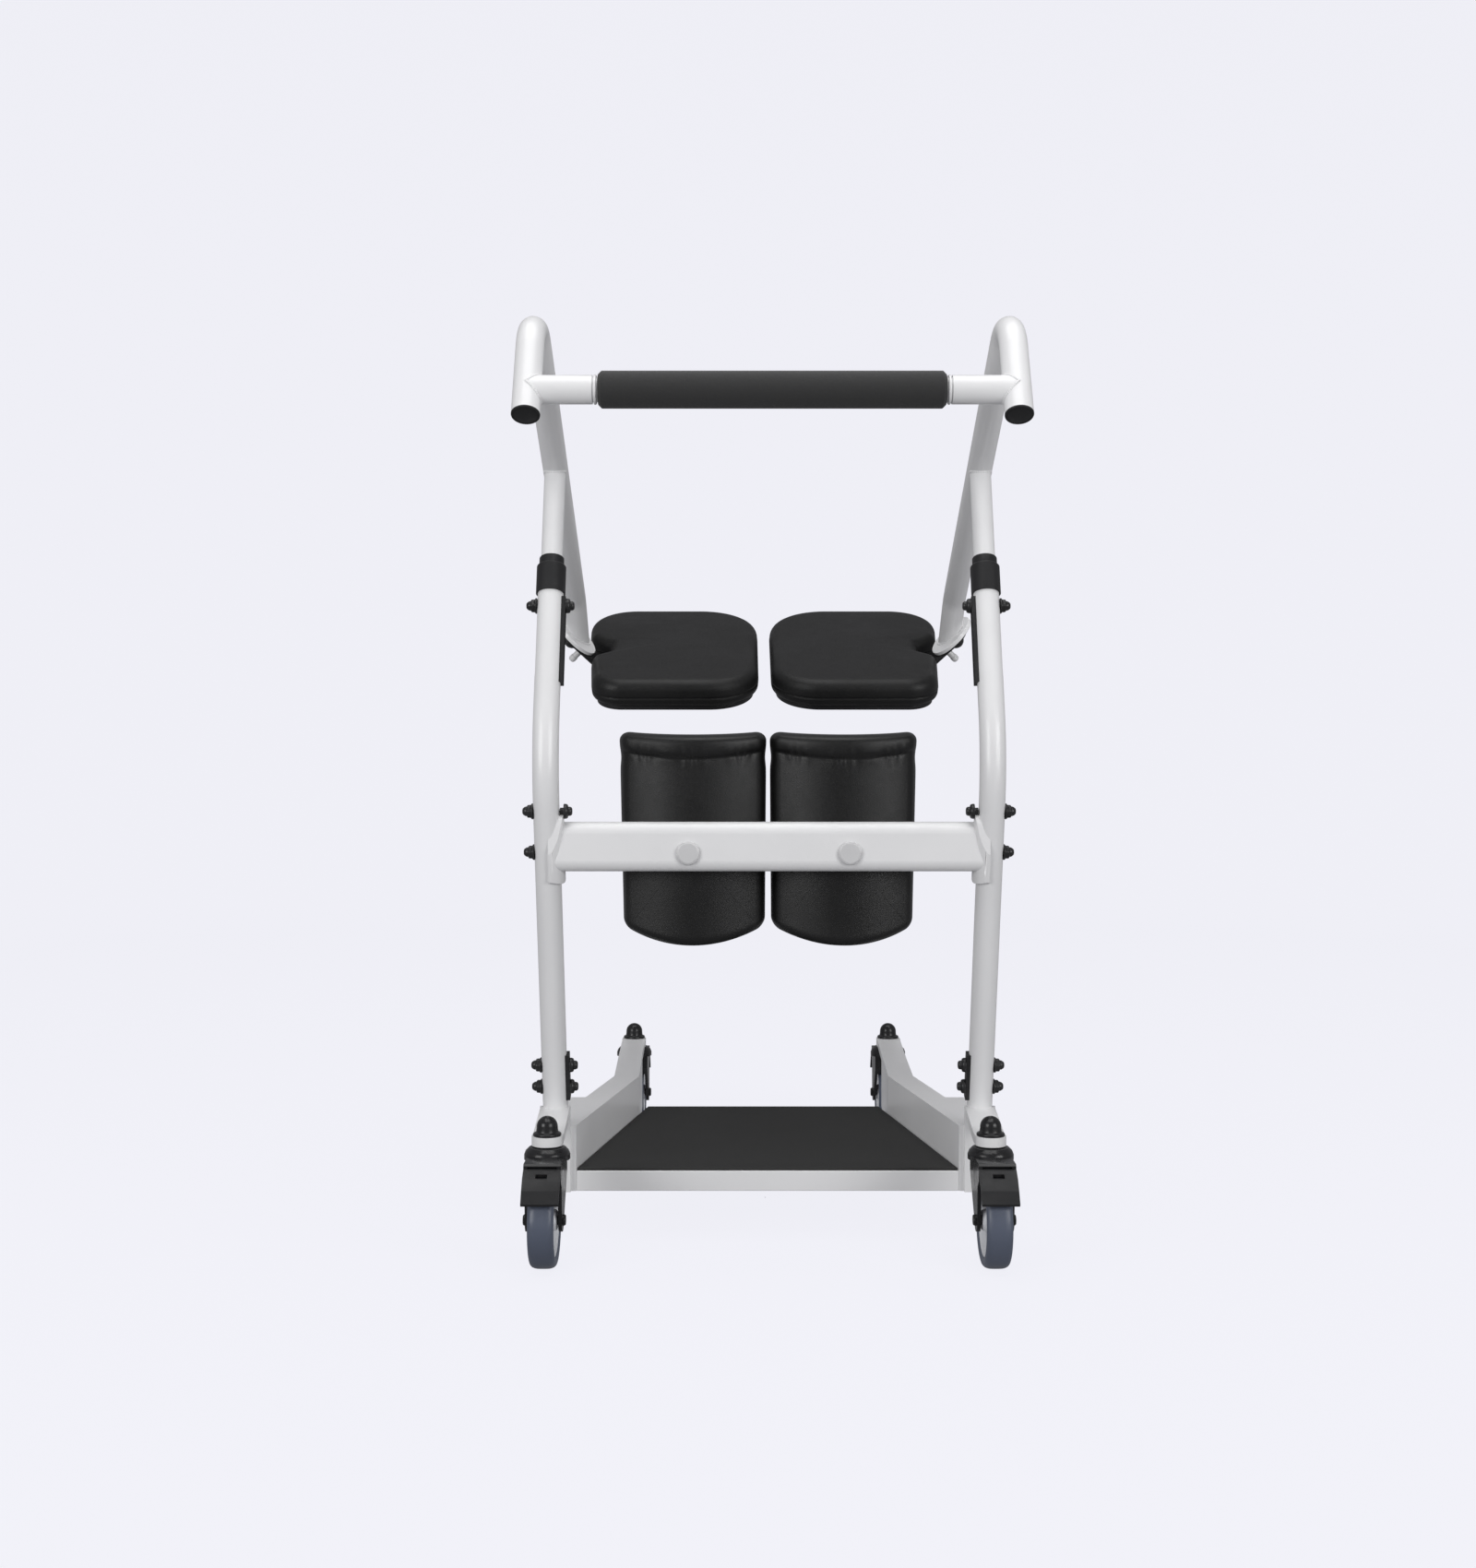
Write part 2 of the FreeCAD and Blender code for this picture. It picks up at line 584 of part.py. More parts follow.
def leg_inner_x(y):
    """The inner face of the front stretch of the leg."""
    return -(LEG_FRONT_X - leg_slope * (y - LEG_FRONT_Y))


def base_outline(inset, z):
    """Plan of the left leg with the block that carries the upright, shrunk by inset."""
    inner = -(FRAME_X - BLOCK_WIDTH / 2)
    outer = -(FRAME_X + BLOCK_WIDTH / 2)
    points = [
        (leg_inner_x(LEG_FRONT_Y), LEG_FRONT_Y), (-LEG_KINK_X, LEG_KINK_Y),
        (-rear_inner_x, LEG_REAR_Y), (-rear_inner_x - LEG_WIDTH, LEG_REAR_Y),
        (-LEG_KINK_X - LEG_WIDTH, LEG_KINK_Y),
        (leg_inner_x(BLOCK_REAR_Y) - LEG_WIDTH, BLOCK_REAR_Y), (outer, BLOCK_REAR_Y),
        (outer, LEG_FRONT_Y)]
    wire = Part.makePolygon([vec(x, y, z) for x, y in points + [points[0]]])
    face = Part.Face(wire)
    return face.makeOffset2D(-inset) if inset else face


leg = base_outline(0, BASE_BOTTOM).extrude(Z_AXIS * (LEG_TOP - BASE_BOTTOM))
leg = leg.cut(base_outline(BASE_WALL, BASE_BOTTOM + BASE_WALL).extrude(
    Z_AXIS * (LEG_TOP - BASE_BOTTOM - 2 * BASE_WALL)))


def caster_arm(stem_x, stem_y, root_y, root_top, root_width):
    """A tapered plate from the base to a caster stem, with a rounded end."""
    side = 1 if root_y > stem_y else -1
    outline = [vec(-stem_x, root_y, root_top), vec(-stem_x, stem_y + side * ARM_END_R, ARM_PLATE_TOP),
               vec(-stem_x, stem_y + side * ARM_END_R, ARM_PLATE_TOP - ARM_PLATE),
               vec(-stem_x, root_y, root_top - ARM_PLATE)]
    bar = prism([p - X_AXIS * root_width / 2 for p in outline], X_AXIS * root_width)
    end = rod(vec(-stem_x, stem_y, ARM_PLATE_TOP - ARM_PLATE), Z_AXIS, ARM_PLATE, 2 * ARM_END_R)
    end = end.fuse(block(-stem_x - ARM_END_R, -stem_x + ARM_END_R,
                         min(stem_y, stem_y + side * ARM_END_R),
                         max(stem_y, stem_y + side * ARM_END_R),
                         ARM_PLATE_TOP - ARM_PLATE, ARM_PLATE_TOP))
    hole = rod(vec(-stem_x, stem_y, 0), Z_AXIS, 2 * END_PLATE_TOP, STEM_D)
    return bar.fuse(end).cut(hole).removeSplitter()


rear_arm = caster_arm(REAR_STEM_X, WHEELBASE, LEG_REAR_Y, LEG_TOP, LEG_WIDTH)
keep_pair("base_leg", leg.fuse(rear_arm).removeSplitter())

end_plate = block(-FRAME_X - BLOCK_WIDTH / 2, -FRAME_X + BLOCK_WIDTH / 2,
                  LEG_FRONT_Y - END_PLATE, LEG_FRONT_Y, BASE_BOTTOM, END_PLATE_TOP)
front_arm = caster_arm(FRONT_STEM_X, 0.0, LEG_FRONT_Y - END_PLATE, END_PLATE_TOP, BLOCK_WIDTH - 1.0)
upright_bar = rod(path_end, lower_dir, 100, TUBE_OD)
keep_pair("front_bracket", end_plate.fuse(front_arm).cut(upright_bar).removeSplitter())

pan_bottom = BASE_BOTTOM + PLATE_RISE
pan_top = pan_bottom + LIP_HEIGHT


def between_legs(y0, y1, z0, z1, side_gap=0.0):
    """A plate from y0 to y1 that fills the space between the legs' inner faces."""
    front = leg_inner_x(y0) + side_gap
    rear = leg_inner_x(y1) + side_gap
    return prism([vec(front, y0, z0), vec(-front, y0, z0), vec(-rear, y1, z0), vec(rear, y1, z0)],
                 Z_AXIS * (z1 - z0))


def cross_rail(y0, y1):
    """A box-section rail between the legs, under the pan."""
    rail = between_legs(y0, y1, pan_bottom, pan_top)
    return rail.cut(block(-300, 300, y0 + 2.0, y1 - 2.0, pan_bottom + 2.0, pan_top - 2.0))


keep("front_cross_rail", cross_rail(LEG_FRONT_Y, LEG_FRONT_Y + RAIL_DEPTH))
keep("rear_cross_rail", cross_rail(MAT_REAR_Y - RAIL_DEPTH, MAT_REAR_Y))
keep("footplate_pan", between_legs(LEG_FRONT_Y + RAIL_DEPTH, MAT_REAR_Y - RAIL_DEPTH,
                                   pan_top - PAN_THICK, pan_top))
keep("footplate_mat", between_legs(LEG_FRONT_Y + MAT_FRONT_SET, MAT_REAR_Y,
                                   pan_top, pan_top + MAT_THICK, 1.0))

# ---------------------------------------------------------------- casters

arm_bottom = ARM_PLATE_TOP - ARM_PLATE
head_top = arm_bottom - HEAD_TOP_GAP
head_bottom = head_top - HEAD_HEIGHT
axle_z = WHEEL_D / 2
tyre_r = WHEEL_D / 2
fork_half = WHEEL_WIDTH / 2 + WHEEL_GAP + FORK_THICK
crown_top = head_bottom + 5.5
pedal_pin = vec(0, -CROWN_FRONT + 5.5, crown_top - CROWN_BAR - PEDAL_HUB_D / 2 - 1.0)


def stem_and_nut():
    """The threaded stem with its domed nut on top of the arm."""
    nut_r = NUT_DOME_D / 2
    top_z = ARM_PLATE_TOP
    dome_start = NUT_HEIGHT - nut_r
    profile = [(0, head_bottom + 1.0), (STEM_D / 2, head_bottom + 1.0), (STEM_D / 2, top_z),
               (NUT_FLANGE_D / 2, top_z), (NUT_FLANGE_D / 2, top_z + NUT_FLANGE - 1.0),
               (NUT_FLANGE_D / 2 - 1.0, top_z + NUT_FLANGE), (nut_r, top_z + NUT_FLANGE),
               (nut_r, top_z + dome_start)]
    steps = 5
    for i in range(1, steps):
        turn = math.radians(90 * i / steps)
        profile.append((nut_r * math.cos(turn), top_z + dome_start + nut_r * math.sin(turn)))
    profile.append((0, top_z + NUT_HEIGHT))
    return turned(profile, vec(0, 0, 0), Z_AXIS, X_AXIS)


def fork():
    """The swivel head, the crown over the wheel and its two cheeks."""
    r = HEAD_D / 2
    head = turned([(0, head_bottom), (r, head_bottom), (r, head_bottom + 5.0), (r - 1.5, head_bottom + 9.0),
                   (r - 5.0, head_top - 1.5), (r - 10.0, head_top), (0, head_top)],
                  vec(0, 0, 0), Z_AXIS, X_AXIS)
    # side view of the cheeks: under the head, forward over the wheel, down round the axle
    axle = vec(-fork_half, -TRAIL, axle_z)
    side_view = [(CHEEK_BACK, head_bottom), (CHEEK_BACK, 92.0), (CHEEK_END_R - TRAIL, axle_z - 3.0),
                 (-TRAIL, axle_z - 6.0), (-TRAIL - CHEEK_END_R, axle_z), (-TRAIL - 14.0, 88.0),
                 (-CROWN_FRONT, 97.0), (-CROWN_FRONT, crown_top - 2.0), (-CROWN_FRONT + 2.0, crown_top),
                 (0, crown_top)]
    cheeks = prism([vec(-fork_half, y, z) for y, z in side_view], X_AXIS * 2 * fork_half)
    cheeks = cheeks.fuse(rod(axle, X_AXIS, 2 * fork_half, 2 * CHEEK_END_R))
    hollow = fork_half - FORK_THICK
    well = rod(vec(-hollow, -TRAIL, axle_z), X_AXIS, 2 * hollow, WHEEL_D + 2 * WHEEL_CLEAR)
    body = head.fuse(cheeks).cut(well)
    # pocket for the pedal's hub between the cheeks, open to the front, under a thin bar
    body = body.cut(block(-hollow, hollow, -CROWN_FRONT - 10.0, pedal_pin.y + PEDAL_HUB_D / 2 + 1.0,
                          60.0, crown_top - CROWN_BAR))
    body = body.cut(rod(vec(0, 0, 0), Z_AXIS, 200, STEM_D + 2 * STEM_GAP))
    body = body.cut(rod(pedal_pin - X_AXIS * 40, X_AXIS, 80, PEDAL_PIN_D))
    body = body.cut(rod(axle - X_AXIS, X_AXIS, 80, AXLE_D))
    return body.removeSplitter()


def axle_and_pin():
    """The wheel's axle with a head at each end, and the pedal's pin."""
    h = fork_half
    r = AXLE_D / 2
    head = AXLE_HEAD_D / 2
    profile = [(0, -h - AXLE_HEAD), (head - 1.0, -h - AXLE_HEAD), (head, -h - 1.5), (head, -h), (r, -h),
               (r, h), (head, h), (head, h + 1.5), (head - 1.0, h + AXLE_HEAD), (0, h + AXLE_HEAD)]
    axle = turned(profile, vec(0, -TRAIL, axle_z), X_AXIS, Z_AXIS)
    pin = rod(pedal_pin - X_AXIS * fork_half, X_AXIS, 2 * fork_half, PEDAL_PIN_D)
    return axle, pin


def tyre():
    """A tread ring with rounded shoulders."""
    w = WHEEL_WIDTH / 2
    inner = tyre_r - TYRE_WALL
    profile = [(inner, -w + 2.0), (tyre_r - 6.0, -w), (tyre_r - 2.0, -w + 2.0), (tyre_r - 0.4, -w + 6.0),
               (tyre_r, -w + 10.0), (tyre_r, w - 10.0), (tyre_r - 0.4, w - 6.0), (tyre_r - 2.0, w - 2.0),
               (tyre_r - 6.0, w), (inner, w - 2.0)]
    return turned(profile, vec(0, -TRAIL, axle_z), X_AXIS, Z_AXIS)


def hub():
    """The wheel centre: a rim, a web and a boss that runs on the axle."""
    w = WHEEL_WIDTH / 2
    rim = tyre_r - TYRE_WALL
    bore = AXLE_D / 2 + RUNNING_GAP
    profile = [(bore, -w), (bore + 5.0, -w), (bore + 7.0, -w + 7.0), (rim - 6.0, -w + 8.0),
               (rim - 3.0, -w + 2.0), (rim, -w + 2.0), (rim, w - 2.0), (rim - 3.0, w - 2.0),
               (rim - 6.0, w - 8.0), (bore + 7.0, w - 7.0), (bore + 5.0, w), (bore, w)]
    return turned(profile, vec(0, -TRAIL, axle_z), X_AXIS, Z_AXIS)


def pedal():
    """The brake pedal: a hub on its pin, a shield over the tyre and a lip to step on."""
    hub_half = fork_half - FORK_THICK - 0.6
    y, z = pedal_pin.y, pedal_pin.z
    boss = rod(vec(-hub_half, y, z), X_AXIS, 2 * hub_half, PEDAL_HUB_D)
    web_view = [(0, 4.0), (-8.0, 3.0), (-8.0, -2.5), (0, -4.0)]
    web = prism([vec(-hub_half, y + dy, z + dz) for dy, dz in web_view], X_AXIS * 2 * hub_half)
    half_w = PEDAL_WIDTH / 2
    side_view = [(-6.5, 3.5), (-17.5, -4.0), (-26.5, -14.5), (-34.5, -26.5), (-33.0, -29.0),
                 (-29.0, -25.5), (-22.0, -15.5), (-13.5, -6.5), (-6.5, -2.0)]
    shield = prism([vec(-half_w, y + dy, z + dz) for dy, dz in side_view], X_AXIS * PEDAL_WIDTH)
    body = boss.fuse(web).fuse(shield)
    body = body.cut(rod(vec(-40, y, z), X_AXIS, 80, PEDAL_PIN_D + 2 * RUNNING_GAP))
    window = block(-PEDAL_WINDOW / 2, PEDAL_WINDOW / 2, y - 30.0, y - 9.0, z - 4.0, z - 0.5)
    return body.cut(window).removeSplitter()


CASTERS = {
    "front_left": (vec(-FRONT_STEM_X, 0, 0), 0), "front_right": (vec(FRONT_STEM_X, 0, 0), 0),
    "rear_left": (vec(-REAR_STEM_X, WHEELBASE, 0), 180), "rear_right": (vec(REAR_STEM_X, WHEELBASE, 0), 180)}


def placed(shape, name):
    """A copy of a caster's piece at its corner of the base."""
    corner, turn = CASTERS[name]
    copy = shape.copy()
    copy.rotate(vec(0, 0, 0), Z_AXIS, turn)
    copy.translate(corner)
    return copy


caster_pieces = {"caster_fork": Part.makeCompound([fork(), *axle_and_pin()]), "caster_tyre": tyre(),
                 "caster_hub": hub(), "brake_pedal": pedal()}
for corner_name in CASTERS:
    for piece_name, piece in caster_pieces.items():
        keep(piece_name + "_" + corner_name, placed(piece, corner_name))
keep("caster_stems", *[placed(stem_and_nut(), corner_name) for corner_name in CASTERS])

# ---------------------------------------------------------------- seat halves

disc = rod(pivot, pivot_axis, DISC_THICK, 2 * DISC_R)
disc = disc.cut(rod(pivot, pivot_axis, DISC_THICK, BOLT_D + 2 * RUNNING_GAP))
# the stop groove under the disc lets the pin travel through the seat's swing
groove_r = STOP_PIN_D / 2 + BOLT_GAP
spare = math.degrees(groove_r / STOP_PIN_R) + 3.0
groove_face = Part.Face(Part.makePolygon([
    pivot + pivot_axis * depth + plate_dir * radius for radius, depth in (
        (STOP_PIN_R - groove_r, DISC_THICK - STOP_GROOVE), (STOP_PIN_R + groove_r, DISC_THICK - STOP_GROOVE),
        (STOP_PIN_R + groove_r, DISC_THICK + 1.0), (STOP_PIN_R - groove_r, DISC_THICK + 1.0),
        (STOP_PIN_R - groove_r, DISC_THICK - STOP_GROOVE))]))
groove_face.rotate(pivot, pivot_axis, spare)
groove = groove_face.revolve(pivot, pivot_axis * -1, SEAT_SWING + 2 * spare)
keep_pair("seat_hinge_disc", disc.cut(groove))

seat_top = -SEAT_DROP
cushion_bottom = seat_top - CUSHION
board_bottom = cushion_bottom - BOARD
plate_start = DISC_THICK + DISC_GAP
plate_end = plate_start + HINGE_PLATE

# hinge plate: from the pivot down and inboard, then level under the board
root2 = math.sqrt(2.0)
turn_top = -board_bottom * root2 - plate_start
turn_low = (HINGE_PLATE - board_bottom) * root2 - plate_end
slant = [pivot + pivot_axis * plate_start, pivot + pivot_axis * plate_start + plate_dir * turn_top,
         at_seat(HINGE_REACH, 0, board_bottom), at_seat(HINGE_REACH, 0, board_bottom - HINGE_PLATE),
         pivot + pivot_axis * plate_end + plate_dir * turn_low, pivot + pivot_axis * plate_end]
hinge_plate = prism([p - seat_back * HINGE_WIDTH / 2 for p in slant], seat_back * HINGE_WIDTH)
hinge_plate = hinge_plate.fuse(rod(pivot + pivot_axis * plate_start, pivot_axis, HINGE_PLATE, HINGE_WIDTH))
stop_point = pivot + plate_dir * STOP_PIN_R
hinge_plate = hinge_plate.cut(rod(pivot, pivot_axis, 40, BOLT_D))
hinge_plate = hinge_plate.cut(rod(stop_point, pivot_axis, 40, STOP_PIN_D)).removeSplitter()
keep_pair("seat_hinge_plate", hinge_plate)

pivot_bolt = turned([(0, 0.2), (BOLT_D / 2, 0.2), (BOLT_D / 2, plate_end), (PIVOT_HEAD_D / 2, plate_end),
                     (PIVOT_HEAD_D / 2, plate_end + 4.0), (PIVOT_HEAD_D * 0.4, plate_end + 7.0),
                     (PIVOT_HEAD_D * 0.22, plate_end + PIVOT_HEAD), (0, plate_end + PIVOT_HEAD)],
                    pivot, pivot_axis, plate_dir)
pin_start = DISC_THICK - STOP_GROOVE + BOLT_GAP
stop_pin = rod(stop_point + pivot_axis * pin_start, pivot_axis,
               plate_end - pin_start + STOP_PIN_TAIL, STOP_PIN_D)
keep_pair("seat_pivot_pins", Part.makeCompound([pivot_bolt, stop_pin]))


def seat_slab(up, thick, inset):
    """The seat's rounded outline as a slab: the top is at up, square to the seat."""
    near_front, near_rear = SEAT_EDGE_FRONT + inset, SEAT_EDGE_REAR + inset
    far = FRAME_X - SEAT_GAP / 2 - inset
    rear = SEAT_LENGTH / 2 - inset
    corners = [(at_seat(near_rear, rear, up), 60.0 - inset), (at_seat(far, rear, up), 75.0 - inset),
               (at_seat(far, -rear, up), 60.0 - inset), (at_seat(near_front, -rear, up), 38.0 - inset)]
    return Part.Face(rounded_wire(corners)).extrude(seat_up * -thick)


# recess round the disc and a notch for the hinge plate
recess = rod(pivot - pivot_axis * 80, pivot_axis, 80 + plate_end, 2 * (DISC_R + RECESS_GAP))
notch_half = HINGE_WIDTH / 2 + NOTCH_GAP
notch_corners = [pivot - plate_dir * 60,
                 pivot + pivot_axis * plate_start + plate_dir * (turn_top + 0.01),
                 at_seat((turn_top - plate_start) / root2, 0, board_bottom - 40),
                 at_seat(-60, 0, board_bottom - 40)]
notch = prism([p - seat_back * notch_half for p in notch_corners], seat_back * 2 * notch_half)
cut_for_hinge = recess.fuse(notch)

cushion_slab = seat_slab(seat_top, CUSHION, 0.0)
keep_pair("seat_cushion", cushion_slab.cut(cut_for_hinge))
keep_pair("seat_board", seat_slab(cushion_bottom, BOARD, BOARD_INSET).cut(cut_for_hinge))

# ---------------------------------------------------------------- origin, files, joint places

whole = Part.makeCompound(list(nodes.values())).BoundBox
shift = vec(0, -(whole.YMin + whole.YMax) / 2, 0)
os.makedirs("parts", exist_ok=True)
for node_name, node_shape in nodes.items():
    node_shape.translate(shift)
    node_shape.exportStep("parts/" + node_name + ".step")

joint_places = {
    "pivot": pivot + shift, "pivot_axis": pivot_axis, "slide_dir": slide_dir,
    "height_bolt": height_bolt + shift, "junction": junction + shift, "bar": vec(0, bar_y, bar_z) + shift,
    "mat_top": vec(0, (LEG_FRONT_Y + MAT_REAR_Y) / 2, pan_top + MAT_THICK) + shift}
for corner_name, (corner, turn) in CASTERS.items():
    side = -1 if turn == 0 else 1
    joint_places["stem_" + corner_name] = corner + shift
    joint_places["axle_" + corner_name] = corner + vec(0, side * TRAIL, axle_z) + shift
    joint_places["pedal_" + corner_name] = corner + vec(0, side * -pedal_pin.y, pedal_pin.z) + shift

if __name__ == "__main__":
    print("box", whole.XLength, whole.YLength, whole.ZLength, "lowest", whole.ZMin)
    print("slide", SLIDE_TRAVEL, "mm, seat", SEAT_SWING, "degrees, pedal", PEDAL_SWING, "degrees")
    for place_name, place in joint_places.items():
        print(place_name, round(place.x, 3), round(place.y, 3), round(place.z, 3))
    for node_name, node_shape in nodes.items():
        if not node_shape.isValid():
            print("not valid:", node_name)
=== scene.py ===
# %% [markdown]
# # A sit to stand lift
# The lift is a white steel frame on four casters. A person stands on the black mat, leans the shins on the
# two knee pads, pulls up on the foam bar and then sits on two half seats that swing in behind.
# The engineering model is loaded first and never moved. This lesson gives every part of it a real surface,
# and builds anew what is soft, rolled, domed or welded.

# %% Load the frame
import json
import math

import bmesh
import bpy
import numpy as np
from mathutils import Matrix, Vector

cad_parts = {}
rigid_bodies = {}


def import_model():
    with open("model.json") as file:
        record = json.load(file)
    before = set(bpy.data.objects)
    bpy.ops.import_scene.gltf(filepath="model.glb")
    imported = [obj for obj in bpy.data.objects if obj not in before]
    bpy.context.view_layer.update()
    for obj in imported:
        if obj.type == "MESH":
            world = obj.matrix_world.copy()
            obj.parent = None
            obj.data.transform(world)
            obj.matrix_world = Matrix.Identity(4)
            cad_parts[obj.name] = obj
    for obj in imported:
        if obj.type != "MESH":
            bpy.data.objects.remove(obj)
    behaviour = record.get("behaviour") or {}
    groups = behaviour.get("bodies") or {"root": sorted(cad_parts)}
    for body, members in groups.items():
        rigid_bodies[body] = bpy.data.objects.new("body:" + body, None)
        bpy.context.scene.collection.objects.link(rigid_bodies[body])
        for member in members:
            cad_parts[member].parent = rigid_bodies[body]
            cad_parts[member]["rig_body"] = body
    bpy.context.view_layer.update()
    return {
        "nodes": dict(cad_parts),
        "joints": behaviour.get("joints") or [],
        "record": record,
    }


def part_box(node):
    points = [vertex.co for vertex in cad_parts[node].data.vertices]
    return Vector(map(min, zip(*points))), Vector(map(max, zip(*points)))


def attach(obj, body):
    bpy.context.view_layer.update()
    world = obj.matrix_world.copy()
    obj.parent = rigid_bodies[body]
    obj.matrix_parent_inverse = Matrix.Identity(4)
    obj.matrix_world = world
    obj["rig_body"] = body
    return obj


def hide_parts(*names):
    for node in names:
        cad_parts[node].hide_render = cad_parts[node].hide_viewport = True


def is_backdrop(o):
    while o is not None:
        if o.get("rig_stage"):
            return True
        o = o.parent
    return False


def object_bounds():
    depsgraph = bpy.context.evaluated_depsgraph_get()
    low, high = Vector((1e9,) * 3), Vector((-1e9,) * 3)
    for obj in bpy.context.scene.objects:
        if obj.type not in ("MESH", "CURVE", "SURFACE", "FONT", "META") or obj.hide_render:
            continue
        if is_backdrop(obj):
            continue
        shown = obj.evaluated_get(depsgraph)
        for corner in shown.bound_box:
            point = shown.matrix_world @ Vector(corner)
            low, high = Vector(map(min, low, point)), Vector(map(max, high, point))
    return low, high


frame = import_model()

JOINTS = {joint["name"]: joint for joint in frame["joints"]}

# %% [markdown]
# ## Camera
# A catalogue view: straight from the front, a little above the middle of the frame, with a lens long
# enough to keep the two sides nearly parallel. The camera stands 2 m in front of the front casters.

# %% Camera
CAMERA_AWAY = 2.0
CAMERA_PLACE = (-0.033, JOINTS["swivel_front_left"]["pos_m"][1] - CAMERA_AWAY, 0.545)
LENS = 43.2
TILT_DOWN = 1.06

camera = bpy.data.objects.new("camera", bpy.data.cameras.new("camera"))
bpy.context.scene.collection.objects.link(camera)
camera.location = CAMERA_PLACE
camera.rotation_euler = (math.radians(90 - TILT_DOWN), 0, 0)
camera.data.lens = LENS
bpy.context.scene.camera = camera
print("camera at", CAMERA_PLACE, "with a", LENS, "mm lens")

# %% [markdown]
# ## Helpers for surfaces
# Every new piece is a grid of points worked out at once as arrays. A grid wraps round in one direction,
# like a tube, and its first and last rows may shrink to a point. Merging the doubles closes those poles,
# and the normals are then turned outwards.

# %% Helpers for surfaces
def grid_faces(rows, columns, wrap_rows=False):
    """Quads of a grid: corner (r, c) joins (r, c+1), (r+1, c+1) and (r+1, c). Columns always wrap round."""
    r, c = np.meshgrid(np.arange(rows if wrap_rows else rows - 1), np.arange(columns), indexing="ij")
    below, beside = (r + 1) % rows, (c + 1) % columns
    quads = np.stack([r * columns + c, r * columns + beside,
                      below * columns + beside, below * columns + c], -1)
    return quads.reshape(-1, 4)


def piece(name, body, material, grids, wrap_rows=False, sharp=180.0):
    """One object from one or more grids of points (rows, columns, 3), riding on a body of the frame."""
    made = bmesh.new()
    for grid in grids:
        rows, columns = grid.shape[:2]
        part_mesh = bpy.data.meshes.new(name)
        part_mesh.from_pydata(grid.reshape(-1, 3).tolist(), [], grid_faces(rows, columns, wrap_rows).tolist())
        made.from_mesh(part_mesh)
        bpy.data.meshes.remove(part_mesh)
    bmesh.ops.remove_doubles(made, verts=made.verts, dist=1e-6)
    bmesh.ops.dissolve_degenerate(made, edges=made.edges, dist=1e-7)
    bmesh.ops.recalc_face_normals(made, faces=made.faces)
    mesh = bpy.data.meshes.new(name)
    made.to_mesh(mesh)
    made.free()
    return finished(name, mesh, body, material, sharp)


def finished(name, mesh, body, material, sharp=180.0):
    """A smooth shaded object with its material, body and slot; edges past the angle sharp stay sharp."""
    mesh.shade_smooth()
    if sharp < 180.0:
        mesh.set_sharp_from_angle(angle=math.radians(sharp))
    mesh.materials.clear()
    mesh.materials.append(material)
    made = bpy.data.objects.new(name, mesh)
    bpy.context.scene.collection.objects.link(made)
    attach(made, body)
    return made


def square_to(axis):
    """Two unit vectors square to axis and to each other."""
    axis = np.array(axis, float) / np.linalg.norm(axis)
    helper = np.array([0.0, 0, 1]) if abs(axis[2]) < 0.9 else np.array([1.0, 0, 0])
    first = np.cross(helper, axis)
    first /= np.linalg.norm(first)
    return first, np.cross(axis, first)


def filleted(corners, steps=5):
    """A line through corners (x, y, reach). Each corner is cut back by its reach and replaced with the
    quadratic bend (1-t)^2 A + 2t(1-t) P + t^2 B through the corner P."""
    corners = np.array(corners, float)
    line = [corners[:1, :2]]
    t = np.linspace(0, 1, steps)[:, None]
    for before, here, after in zip(corners[:-2], corners[1:-1], corners[2:]):
        p = here[:2]
        back, ahead = before[:2] - p, after[:2] - p
        a = p + back * min(here[2] / max(np.linalg.norm(back), 1e-9), 0.48)
        b = p + ahead * min(here[2] / max(np.linalg.norm(ahead), 1e-9), 0.48)
        line.append((1 - t) ** 2 * a + 2 * t * (1 - t) * p + t ** 2 * b if here[2] else p[None])
    return np.concatenate(line + [corners[-1:, :2]])


def lathe(profile, origin, axis, segments=48):
    """A turned surface: the point at (radius r, height h) goes to origin + h axis + r (cos a u + sin a v)."""
    axis = np.array(axis, float) / np.linalg.norm(axis)
    u, v = square_to(axis)
    a = np.linspace(0, 2 * math.pi, segments, endpoint=False)
    ring = np.cos(a)[:, None] * u + np.sin(a)[:, None] * v
    r, h = profile[:, 0], profile[:, 1]
    return np.array(origin) + h[:, None, None] * axis + r[:, None, None] * ring


def tube_along(path, radius, sides=10):
    """A closed tube round a closed path (n, 3): each ring is square to the path's central difference."""
    forward = np.roll(path, -1, 0) - np.roll(path, 1, 0)
    forward /= np.linalg.norm(forward, axis=1)[:, None]
    middle = path.mean(0)
    out = path - middle
    out -= (out * forward).sum(1)[:, None] * forward
    out /= np.linalg.norm(out, axis=1)[:, None]
    side = np.cross(forward, out)
    a = np.linspace(0, 2 * math.pi, sides, endpoint=False)
    radius = np.broadcast_to(radius, (len(path),))[:, None, None]
    return path[:, None] + radius * (np.cos(a)[:, None] * out[:, None] + np.sin(a)[:, None] * side[:, None])


